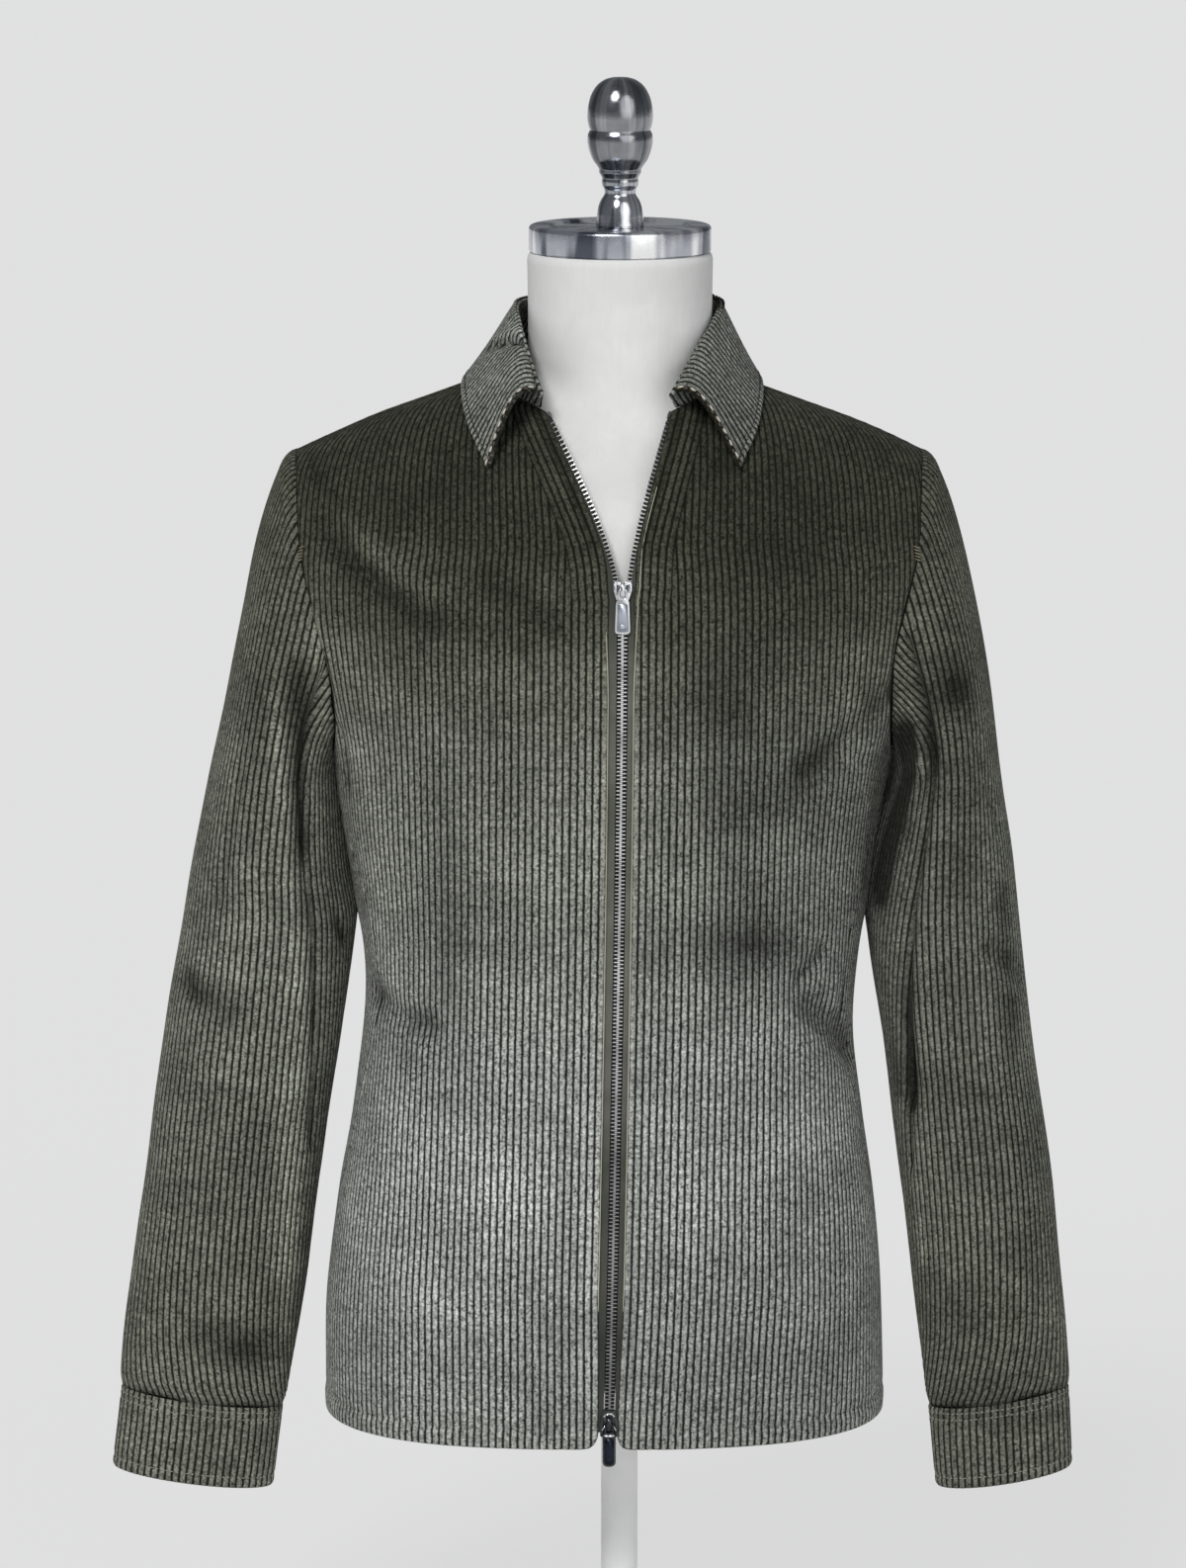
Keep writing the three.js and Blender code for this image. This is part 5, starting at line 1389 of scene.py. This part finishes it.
def cuff_stitches(name):
    spots = []
    heights = [CUFF_SEAM - row for row in CUFF_ROWS["top"]] + [CUFF_END + CUFF_ROWS["bottom"]]
    for height in heights:
        angle = np.linspace(-math.pi, math.pi, 300)
        z = np.full_like(angle, height)
        points = arm_point(name, z, angle)
        out = outward(points[None], arm_out(name, z, angle)[None])[0]
        spots += evenly(points + out * (0.35 + 0.5 * slow_swell(points))[:, None], out)
    lay_rows(f"cuff_{name}_stitching", spots, (2.5, 0.75, 0.7), cuff_thread)


def bar_tacks():
    spots = []
    z = 727.0
    depth = ARMHOLE["y"] - armhole_reach(z)
    for side in SIDES.values():
        for step in range(5):
            height = z + 2 * step - 4
            turn = turn_at_depth(height, depth - 1.5 + 0.2 * step, side)
            out = body_normal(height, turn, side)
            spots.append((body_point(height, turn, side) + 0.7 * out, (side * 0.9, -0.35, -0.25), out))
    lay_rows("bar_tacks", spots, (5.2, 1.1, 0.9), bar_thread)


def collar_stitches(points, out):
    """One row of stitches inside the collar's outer edge, and the cut ends of pile at its front edges."""
    fall = falls(points)
    inside = range(2, points.shape[1] - 2)
    line, facing = (
        np.array([read_rows(fall[-1, i] - COLLAR_BORDER, fall[:, i], values[:, i]) for i in inside])
        for values in (points, out))
    lay_rows("collar_stitching", evenly(line + facing * -0.25, facing, 3.2), (3.1, 1.1, 0.7), dark_thread)
    for label, material, pitch, size, lift in (
        ("cream", cream_thread, 8.4, (4.8, 1.3, 1.2), 0.1),
        ("brown", brown_thread, 4.7, (3.6, 1.5, 1.4), -0.9),
    ):
        spots = []
        for column, inward in ((0, 1), (points.shape[1] - 1, -1)):
            edge = points[:, column]
            beside = unit(edge - points[:, column + 2 * inward])
            spots += evenly(edge + out[:, column] * lift + beside * 0.5, out[:, column] + beside * 0.6, pitch)
        lay_rows(f"collar_{label}_ends", spots, size, material)


def facing_edge(name, low_end, high_end):
    """The cream edge of the facing, which shows beside the front's edge."""
    side = SIDES[name]
    bm = bmesh.new()
    rings = []
    for z in np.linspace(low_end, high_end, int((high_end - low_end) / 4)):
        proud = smooth_step(low_end, low_end + 25, z) * (1 - smooth_step(high_end - 12, high_end, z))
        proud *= 0.72 + 0.28 * math.sin(z / 17 + side) * math.sin(z / 41)
        inset = 0.2 + 3.2 * smooth_step(640, 735, z)
        x = zip_line(z) + side * (edge_gap(z, name) + opening(z, name) + inset)
        turn = turn_at_across(z, x, side)
        out = body_normal(z, turn, side)
        middle = body_point(z, turn, side) + out * (-1.6 + 1.3 * proud)
        rings.append(ring_edges(bm, [
            to_metres(middle + (np.array([math.cos(angle) * 0.36, 0, 0]) + out * math.sin(angle) * 0.4))
            for angle in turns_of(6)]))
    bridge_rings(bm, rings)
    from_bmesh(f"facing_edge_{name}", bm, cream_cloth)


# ---- zip ----
TOOTH_PITCH = 2.45
TOOTH_THICK = 2.2
# A tooth seen from the front: its head crosses the zip's middle, and its narrow legs hold the tape.
TOOTH = [(-0.8, -0.25), (-0.5, -0.52), (0.3, -0.52), (0.8, -0.36), (3.0, -0.36), (3.0, 0.36), (0.8, 0.36),
         (0.3, 0.52), (-0.5, 0.52), (-0.8, 0.25)]
CHAIN_DEPTH = 3.0
SLIDER_TOP = 712.0
SLIDER_BOTTOM = 177.0
ZIP_TOP = 815.5


def chain_frame(z, x):
    """A spot on the zip: its middle, the way across it and the way out of the body."""
    side = -1 if x < float(read(BODY, "centre", z)) else 1
    turn = turn_at_across(z, x, side)
    out = body_normal(z, turn, side)
    middle = body_point(z, turn, side) - CHAIN_DEPTH * out
    across = np.array([1.0, 0, 0]) - out * out[0]
    return middle, unit(across), out


def chain_matrix(z, x, side=1, slope=0.0):
    """A frame on the zip: X across it, Y up it and Z out of the body. slope is how far it leans sideways."""
    middle, across, out = chain_frame(z, x)
    up = unit(np.cross(out, across) + slope * across)
    across = side * unit(np.cross(up, out))
    axes = [Vector(across), Vector(up), Vector(out)]
    place = Matrix(axes).transposed().to_4x4()
    place.translation = Vector(to_metres(middle))
    return place


def thickened(bm, faces, deep):
    """Gives flat faces a thickness in millimetres, and returns the new vertices."""
    made = bmesh.ops.extrude_face_region(bm, geom=faces)
    moved = [v for v in made["geom"] if isinstance(v, bmesh.types.BMVert)]
    bmesh.ops.translate(bm, verts=moved, vec=(0, 0, deep * MM))
    return moved


def slab(bm, outline, near, far, place, radius=0, steps=3):
    """A flat slab with the given outline, between two depths. radius rounds its corners."""
    if radius:
        outline = round_outline(outline, radius, steps)
    verts = [bm.verts.new((x * MM, y * MM, near * MM)) for x, y in outline]
    moved = thickened(bm, [bm.faces.new(verts)], far - near)
    bmesh.ops.transform(bm, matrix=place, verts=verts + moved)


def eased(bm, offset):
    """Rounds the sharp edges of plates."""
    bmesh.ops.recalc_face_normals(bm, faces=bm.faces)
    sharp = [e for e in bm.edges if len(e.link_faces) == 2 and e.calc_face_angle(0) > 0.6]
    bmesh.ops.bevel(bm, geom=sharp, offset=offset * MM, segments=2, profile=0.5, affect="EDGES", material=-1,
                    clamp_overlap=True)


def zip_cord(name, low, high, centre_of, side, half, deep=0.6):
    """The cord that the teeth are set on, partly its own dark tone and partly painted shade between the
    teeth.
    """
    bm = bmesh.new()
    rings = []
    for z in np.linspace(low, high, int((high - low) / 5) + 2):
        place = chain_matrix(z, centre_of(z), side)
        rings.append(ring_edges(bm, [
            place @ (Vector((half[0] + half[1] * math.cos(angle), 0, -deep + 0.7 * math.sin(angle))) * MM)
            for angle in turns_of(8)]))
    bridge_rings(bm, rings)
    from_bmesh(name, bm, cord_cloth)


def teeth(name, node, low, high, centre_of, sides):
    """A run of teeth: both rows in turn where the zip is closed, or one row with a stop where it is open."""
    closed = len(sides) == 2
    outline = TOOTH if closed else [(x - 0.6 if x > 2 else x, y) for x, y in TOOTH]
    bm = bmesh.new()
    step = TOOTH_PITCH / len(sides)
    for count in range(int((high - low) / step)):
        z = low + count * step
        slope = (centre_of(z + 2) - centre_of(z - 2)) / 4
        place = chain_matrix(z, centre_of(z), sides[count % len(sides)], slope)
        slab(bm, outline, -TOOTH_THICK / 2, TOOTH_THICK / 2, place)
    if not closed:
        slope = (centre_of(high + 1) - centre_of(high - 3)) / 4
        stop = chain_matrix(high + 2.2, centre_of(high + 2.2), sides[0], slope)
        slab(bm, [(-0.7, -2.1), (1.1, -2.1), (1.1, 2.1), (-0.7, 2.1)], -1.4, 1.5, stop, 0.5, 4)
    material = teeth_metal if closed else open_teeth_metal
    piece = from_bmesh(name, bm, material, node=node)
    piece.data.shade_flat()


def open_centre(name):
    side = SIDES[name]
    return lambda z: zip_line(z) + side * (1.9 + opening(z, name))


def zip_pieces():
    teeth("zip_teeth_closed", "zip_chain_closed", SLIDER_BOTTOM + 6, SLIDER_TOP - 6, zip_line, (-1, 1))
    zip_cord("zip_cord_closed", SLIDER_BOTTOM + 6, SLIDER_TOP - 6, zip_line, 1, (0, 3.1), 1.2)
    for name, side in SIDES.items():
        teeth(f"zip_teeth_{name}", f"zip_chain_{name}", SLIDER_TOP + 3, ZIP_TOP, open_centre(name), (side,))
        zip_cord(f"zip_cord_{name}", SLIDER_TOP + 5, ZIP_TOP + 2, open_centre(name), side, (1.2, 1.5))
    for node in ("zip_tape_left", "zip_tape_right"):
        frame["nodes"][node].data.materials.clear()
        frame["nodes"][node].data.materials.append(zip_tape)


def round_outline(points, radius, steps):
    """An outline with its corners rounded."""
    corners = []
    path = np.array(points, float)
    for before, here, after in zip(np.roll(path, 1, 0), path, np.roll(path, -1, 0)):
        cut = min(radius, np.linalg.norm(before - here) * 0.45, np.linalg.norm(after - here) * 0.45)
        start = here + unit(before - here) * cut
        end = here + unit(after - here) * cut
        for part in np.linspace(0, 1, steps + 1):
            corners.append((1 - part) ** 2 * start + 2 * part * (1 - part) * here + part ** 2 * end)
    return corners


def pull_joint(suffix):
    """Where a pull is hinged, in metres."""
    joints = frame["record"]["behaviour"]["joints"]
    return next(Vector(joint["pos_m"]) for joint in joints if joint["child"] == f"pull_{suffix}")


def pull_frame(suffix):
    """A frame at a pull's hinge: X across it, Y up it and Z out of the body."""
    return Matrix.Translation(pull_joint(suffix)) @ Matrix.Rotation(math.radians(90), 4, "X")


def slider_piece(suffix, z, reach, way, material):
    """The slider's two plates with raised flanges, its post and the arch that holds the pull. reach is how
    far the plates go towards the open teeth and towards the closed ones. way is 1 where the teeth part above
    it and -1 where they part below it."""
    place = chain_matrix(z, float(zip_line(z)))
    wide, shut = reach
    edge = [(2.9, -shut), (3.9, 0.8 - shut), (5.8, -0.4), (5.8, wide - 0.8), (4.6, wide), (1.6, wide)]
    plate = [(-x, y) for x, y in edge[3::-1]] + edge + [(0, wide - 1.6), (-1.6, wide), (-4.6, wide)]
    turned = lambda outline: [(x, y * way) for x, y in outline]
    bm = bmesh.new()
    slab(bm, turned(plate), 1.7, 2.9, place, 0.9)
    slab(bm, turned(plate), -2.9, -1.7, place, 0.9)
    slab(bm, turned([(-1.1, 2.4), (1.1, 2.4), (1.1, wide - 1.8), (-1.1, wide - 1.8)]), -2.4, 2.4, place)
    # The top slider's flanges end above the pull, which hangs flat against its plate.
    wing = [(5.2, -2.2), (3.9, -2.2)] if way > 0 else [(3.9, 1 - shut), (2.7, 1 - shut)]
    for side in (-1, 1):
        flange = [(5.8, wide - 1), (5.8, -0.3), *wing, (3.9, 0.2), (3.9, wide - 1)]
        slab(bm, turned([(side * x, y) for x, y in flange]), 2.8, 3.8, place, 0.5)
    eased(bm, 0.22)
    # The arch is a bent bar standing on the front plate, round the pull's joint.
    middle = (place.inverted() @ pull_joint(suffix)) / MM
    rings = []
    for angle in np.linspace(0, math.pi, 17):
        lift = 2.4 + (middle.z - 1.0) * math.sin(angle) ** 0.45
        height = middle.y + 4.25 * math.cos(angle)
        ring = []
        for corner in turns_of(10):
            off = 0.6 * math.sin(corner)
            spot = (1.45 * math.cos(corner), height + off * math.cos(angle), lift + off * math.sin(angle))
            ring.append(place @ (Vector(spot) * MM))
        rings.append(ring_edges(bm, ring))
    bridge_rings(bm, rings)
    from_bmesh(f"slider_{suffix}_metal", bm, material, node=f"slider_{suffix}")
    # The sunk panels between the flanges are thin dark plates: painted shade in the recess.
    bm = bmesh.new()
    for side in (-1, 1):
        sunk = [(1.9, wide - 2.4), (1.9, 1.6 - shut), (2.6, 1.6 - shut), (3.7, 0.2), (3.7, wide - 1.6)]
        slab(bm, turned([(side * x, y) for x, y in sunk]), 2.85, 2.96, place, 0.4)
    from_bmesh(f"slider_{suffix}_recess", bm, recess_shade_metal)


def slider_glints():
    """Painted glints on the bottom slider: bright plates on its crown and its shoulders, and on the pull's
    upper end.
    """
    place = chain_matrix(SLIDER_BOTTOM, float(zip_line(SLIDER_BOTTOM)))
    half = [(1.4, 7.7), (3.7, 5.6), (3.5, 4.7), (1.5, 5.0), (1.3, 6.0)]
    crown = [(-1.4, 7.7)] + half + [(-x, y) for x, y in half[:0:-1]]
    bm = bmesh.new()
    slab(bm, crown, 3.78, 3.92, place)
    for side in (-1, 1):
        shoulder = [(side * x, y) for x, y in ((2.1, -0.6), (2.9, -0.6), (4.7, -3.6), (4.1, -4.4))]
        slab(bm, shoulder, 3.78, 3.92, place, 0.2)
    from_bmesh("slider_bottom_glints", bm, bright_metal)
    # A painted glint on the pull's upper end, on both faces.
    bm = bmesh.new()
    lip = [(-3.3, -6.0), (-1.2, -6.7), (1.2, -6.7), (3.3, -6.0), (3.6, -7.5), (1.3, -8.1), (-1.3, -8.1),
           (-3.6, -7.5)]
    for front in (-1, 1):
        slab(bm, lip, front * 0.58, front * 0.7, pull_frame("bottom"))
    from_bmesh("pull_bottom_lip_glint", bm, bright_metal, body="pull_bottom")


def pull_piece(suffix, tail, material, panel):
    """The pull hangs from its joint: an eye and a plate with a sunk panel. tail is its half width above and
    below, the radius of its corners and its length."""
    place = pull_frame(suffix)
    name = f"pull_{suffix}"
    wide, end, corner, length = tail
    bm = bmesh.new()
    outer = [(-2.9, 0.8), (2.9, 0.8), (3.0, -5.6), (wide, -7.6), (end, -length), (-end, -length),
             (-wide, -7.6), (-3.0, -5.6)]
    eye = [(-1.8, -0.85), (1.8, -0.85), (1.8, -5.4), (-1.8, -5.4)]
    loops = []
    for outline in (round_outline(outer, corner, 5), eye):
        loops += ring_edges(bm, [(x * MM, y * MM, -0.6 * MM) for x, y in outline])
    bmesh.ops.triangle_fill(bm, edges=loops, use_dissolve=True)
    thickened(bm, bm.faces[:], 1.2)
    eased(bm, 0.25)
    bmesh.ops.transform(bm, matrix=place, verts=bm.verts)
    from_bmesh(f"{name}_metal", bm, material, name, name)
    bm = bmesh.new()
    inner = [(1.1 - wide, -8.6), (wide - 1.1, -8.6), (end - 1.1, 1.2 - length), (1.1 - end, 1.2 - length)]
    for front in (-1, 1):
        slab(bm, inner, front * 0.55, front * 0.66, place, corner * 0.8, 5)
        sized = Matrix.Diagonal((1.7 * MM, 1.4 * MM, 0.4 * MM, 1))
        boss = Matrix.Translation(Vector((0, (4.6 - length) * MM, front * 0.62 * MM))) @ sized
        bmesh.ops.create_uvsphere(bm, u_segments=20, v_segments=10, radius=1, matrix=place @ boss)
    from_bmesh(f"{name}_panel", bm, panel, name)


# ---- dress form and stand ----
FORM_SLACK = (12.0, 11.0, 10.0, 2.95)
FORM_HALF = 190.0


def shrunk(ring, share, height):
    """A level ring drawn in towards its middle, at another height."""
    middle = ring.mean(0)
    inner = middle + (ring - middle) * share
    inner[:, 2] = height
    return inner


def form_pieces():
    z = np.concatenate([np.linspace(200, 690, 60), np.linspace(696, 906, 74), [908, 910.4, 911.8, 912.3]])
    turn = np.linspace(0, 360, 181)
    folded = np.where(turn > 180, 360 - turn, turn)
    side = np.where(turn > 180, -1, 1)
    rows = []
    for height in z:
        section = body_section(np.full(181, min(height, 842.0)), FORM_SLACK, FORM_HALF)
        section["full"] = np.maximum(section["full"], section["half"])
        torso = on_section(section, folded, side)
        radius = 59.5 - 0.6 * math.sin(max(height - 812, 0) / 100 * math.pi)
        radius -= 2.2 * max(0.0, (height - 906) / 6.3) ** 3
        bearing = np.arctan2(torso[:, 0] * 0.9, -torso[:, 1])
        neck = np.stack([radius * np.sin(bearing), -radius * np.cos(bearing), 0 * bearing], -1)
        facing = np.maximum(np.cos(bearing), 0)[:, None] ** 2
        share = smooth_step(806 - 60 * facing, 852 - 10 * facing, height)
        row = torso * (1 - share) + neck * share
        row[:, 2] = height
        rows.append(row)
    base = [shrunk(rows[0], share, 200 - drop)
            for share, drop in ((0.02, 8.0), (0.6, 8.0), (0.94, 7.6), (0.975, 6.0), (0.992, 3.2))]
    points = np.array(base + rows + [shrunk(rows[-1], share, z[-1]) for share in (0.6, 0.02)])
    bm = bmesh.new()
    bmesh.ops.create_grid(bm, x_segments=points.shape[1] - 1, y_segments=points.shape[0] - 1, size=1)
    for vert in bm.verts:
        column = round((vert.co.x + 1) / 2 * (points.shape[1] - 1))
        row = round((vert.co.y + 1) / 2 * (points.shape[0] - 1))
        vert.co = Vector(to_metres(points[row, column]))
    bmesh.ops.remove_doubles(bm, verts=bm.verts, dist=SAME)
    bmesh.ops.holes_fill(bm, edges=[e for e in bm.edges if e.is_boundary])
    piece = from_bmesh("form_canvas", bm, canvas)
    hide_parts("form_torso", "form_neck")

    cap = [(0, 912.6), (57.4, 912.6), (58.1, 913.0), (58.4, 913.8), (58.4, 926.8), (58.2, 928.0),
           (57.5, 928.9), (56.4, 929.4), (55, 929.6), (46.5, 929.6), (45.3, 929.3), (44.6, 928.6),
           (44.2, 927.9), (43, 927.7), (30, 927.8), (24, 928.2), (0, 928.2)]
    spun("neck_cap", cap, turned_metal, 160)
    stem = [(15.2, 928.3), (15.4, 929.6), (15.2, 931), (14.9, 934), (14.6, 937), (13.9, 941), (12.4, 945),
            (10.4, 948.2), (10.0, 950), (10.3, 952.4), (11.5, 954.6), (11.8, 957), (11.6, 959.3), (12.4, 961),
            (13.5, 963), (13.6, 965), (15.2, 967.6), (17.6, 971), (19.6, 976), (20.9, 982), (20.7, 986.6),
            (19.8, 988.9), (19.4, 990.2), (20.1, 992.2), (20.9, 996), (21.0, 1000), (20.4, 1005.5),
            (18.6, 1012), (15, 1018), (10, 1021.8), (5, 1023.3)]
    spun("neck_knob", [(0, 928.3), *smooth_profile(stem, 4), (0, 1023.6)], cast_metal, 96)


def stand_pieces():
    low = -LIFT
    foot = [(0, low), (147.6, low), (149.4, low + 0.6), (150, low + 2), (150, low + 6.4), (149.4, low + 8.2),
            (147.4, low + 9), (60, low + 13), (40, low + 15), (20, low + 15), (0, low + 15)]
    spun("stand_base", foot, stand_paint, 160)
    bottom = low + 15.3
    top = 191.7
    pole = [(0, bottom), (16.4, bottom), (17, bottom + 0.8), (17, bottom + 11), (16.2, bottom + 12),
            (13.2, bottom + 14), (12, bottom + 16), (12, top - 10), (13, top - 8.4), (20.8, top - 6),
            (22, top - 5), (22, top - 0.6), (21.4, top), (0, top)]
    spun("stand_pole", pole, stand_paint, 64)


# ---- the studio ----
def studio():
    scene = bpy.context.scene
    bpy.ops.mesh.primitive_plane_add(size=80, location=(0, 0, 0))
    floor = bpy.context.object
    floor.name = "floor"
    material, n, shader = new_material("Pale floor")
    n.fill(shader, Base_Color=(0.12, 0.12, 0.12), Roughness=1.0, Specular_IOR_Level=0.0,
           Emission_Color=(1, 1, 1), Emission_Strength=0.66)
    floor.data.materials.append(material)

    world = bpy.data.worlds.new("Studio")
    world.use_nodes = True
    sky = Nodes(world.node_tree)
    sky.fill(world.node_tree.nodes["Background"], Color=(0.9, 0.94, 1.0), Strength=0.22)
    scene.world = world

    for name, energy, angle, turn in (("key", 2.1, 22, (47, 0, -24)), ("fill", 0.7, 50, (70, 0, 26))):
        sun = bpy.data.lights.new(name, "SUN")
        sun.energy = energy
        sun.angle = math.radians(angle)
        lamp = bpy.data.objects.new(name, sun)
        lamp.rotation_euler = [math.radians(part) for part in turn]
        scene.collection.objects.link(lamp)

    lens = bpy.data.cameras.new("camera")
    lens.sensor_width = 36
    lens.lens = 163.15
    lens.clip_start = 0.1
    lens.clip_end = 200
    camera = bpy.data.objects.new("camera", lens)
    distance = 4.6
    elevation = math.radians(9.8)
    target = Vector((-0.0173, 0, 0.60692))
    camera.location = target + Vector((0, -math.cos(elevation), math.sin(elevation))) * distance
    camera.rotation_euler = (math.radians(90) - elevation, 0, 0)
    scene.collection.objects.link(camera)
    scene.camera = camera
    scene.view_settings.view_transform = "Standard"


studio()
for side_name in SIDES:
    front_cloth(side_name)
    sleeve_cloth(side_name)
    cuff_cloth(side_name)
    cuff_stitches(side_name)
    armhole_seam(side_name)
back_cloth()
collar_stitches(*collar_cloth())
collar_stand_cloth()
hem_stitches()
bar_tacks()
facing_edge("left", 250, 786)
facing_edge("right", 250, 690)
zip_pieces()
slider_piece("top", SLIDER_TOP, (5.0, 7.4), 1, bright_metal)
slider_piece("bottom", SLIDER_BOTTOM, (8.6, 8.6), -1, dark_metal)
pull_piece("top", (4.2, 4.9, 2.4, 28.0), bright_metal, panel_metal)
pull_piece("bottom", (4.2, 4.3, 4.2, 27.6), dark_metal, navy_metal)
slider_glints()
form_pieces()
stand_pieces()
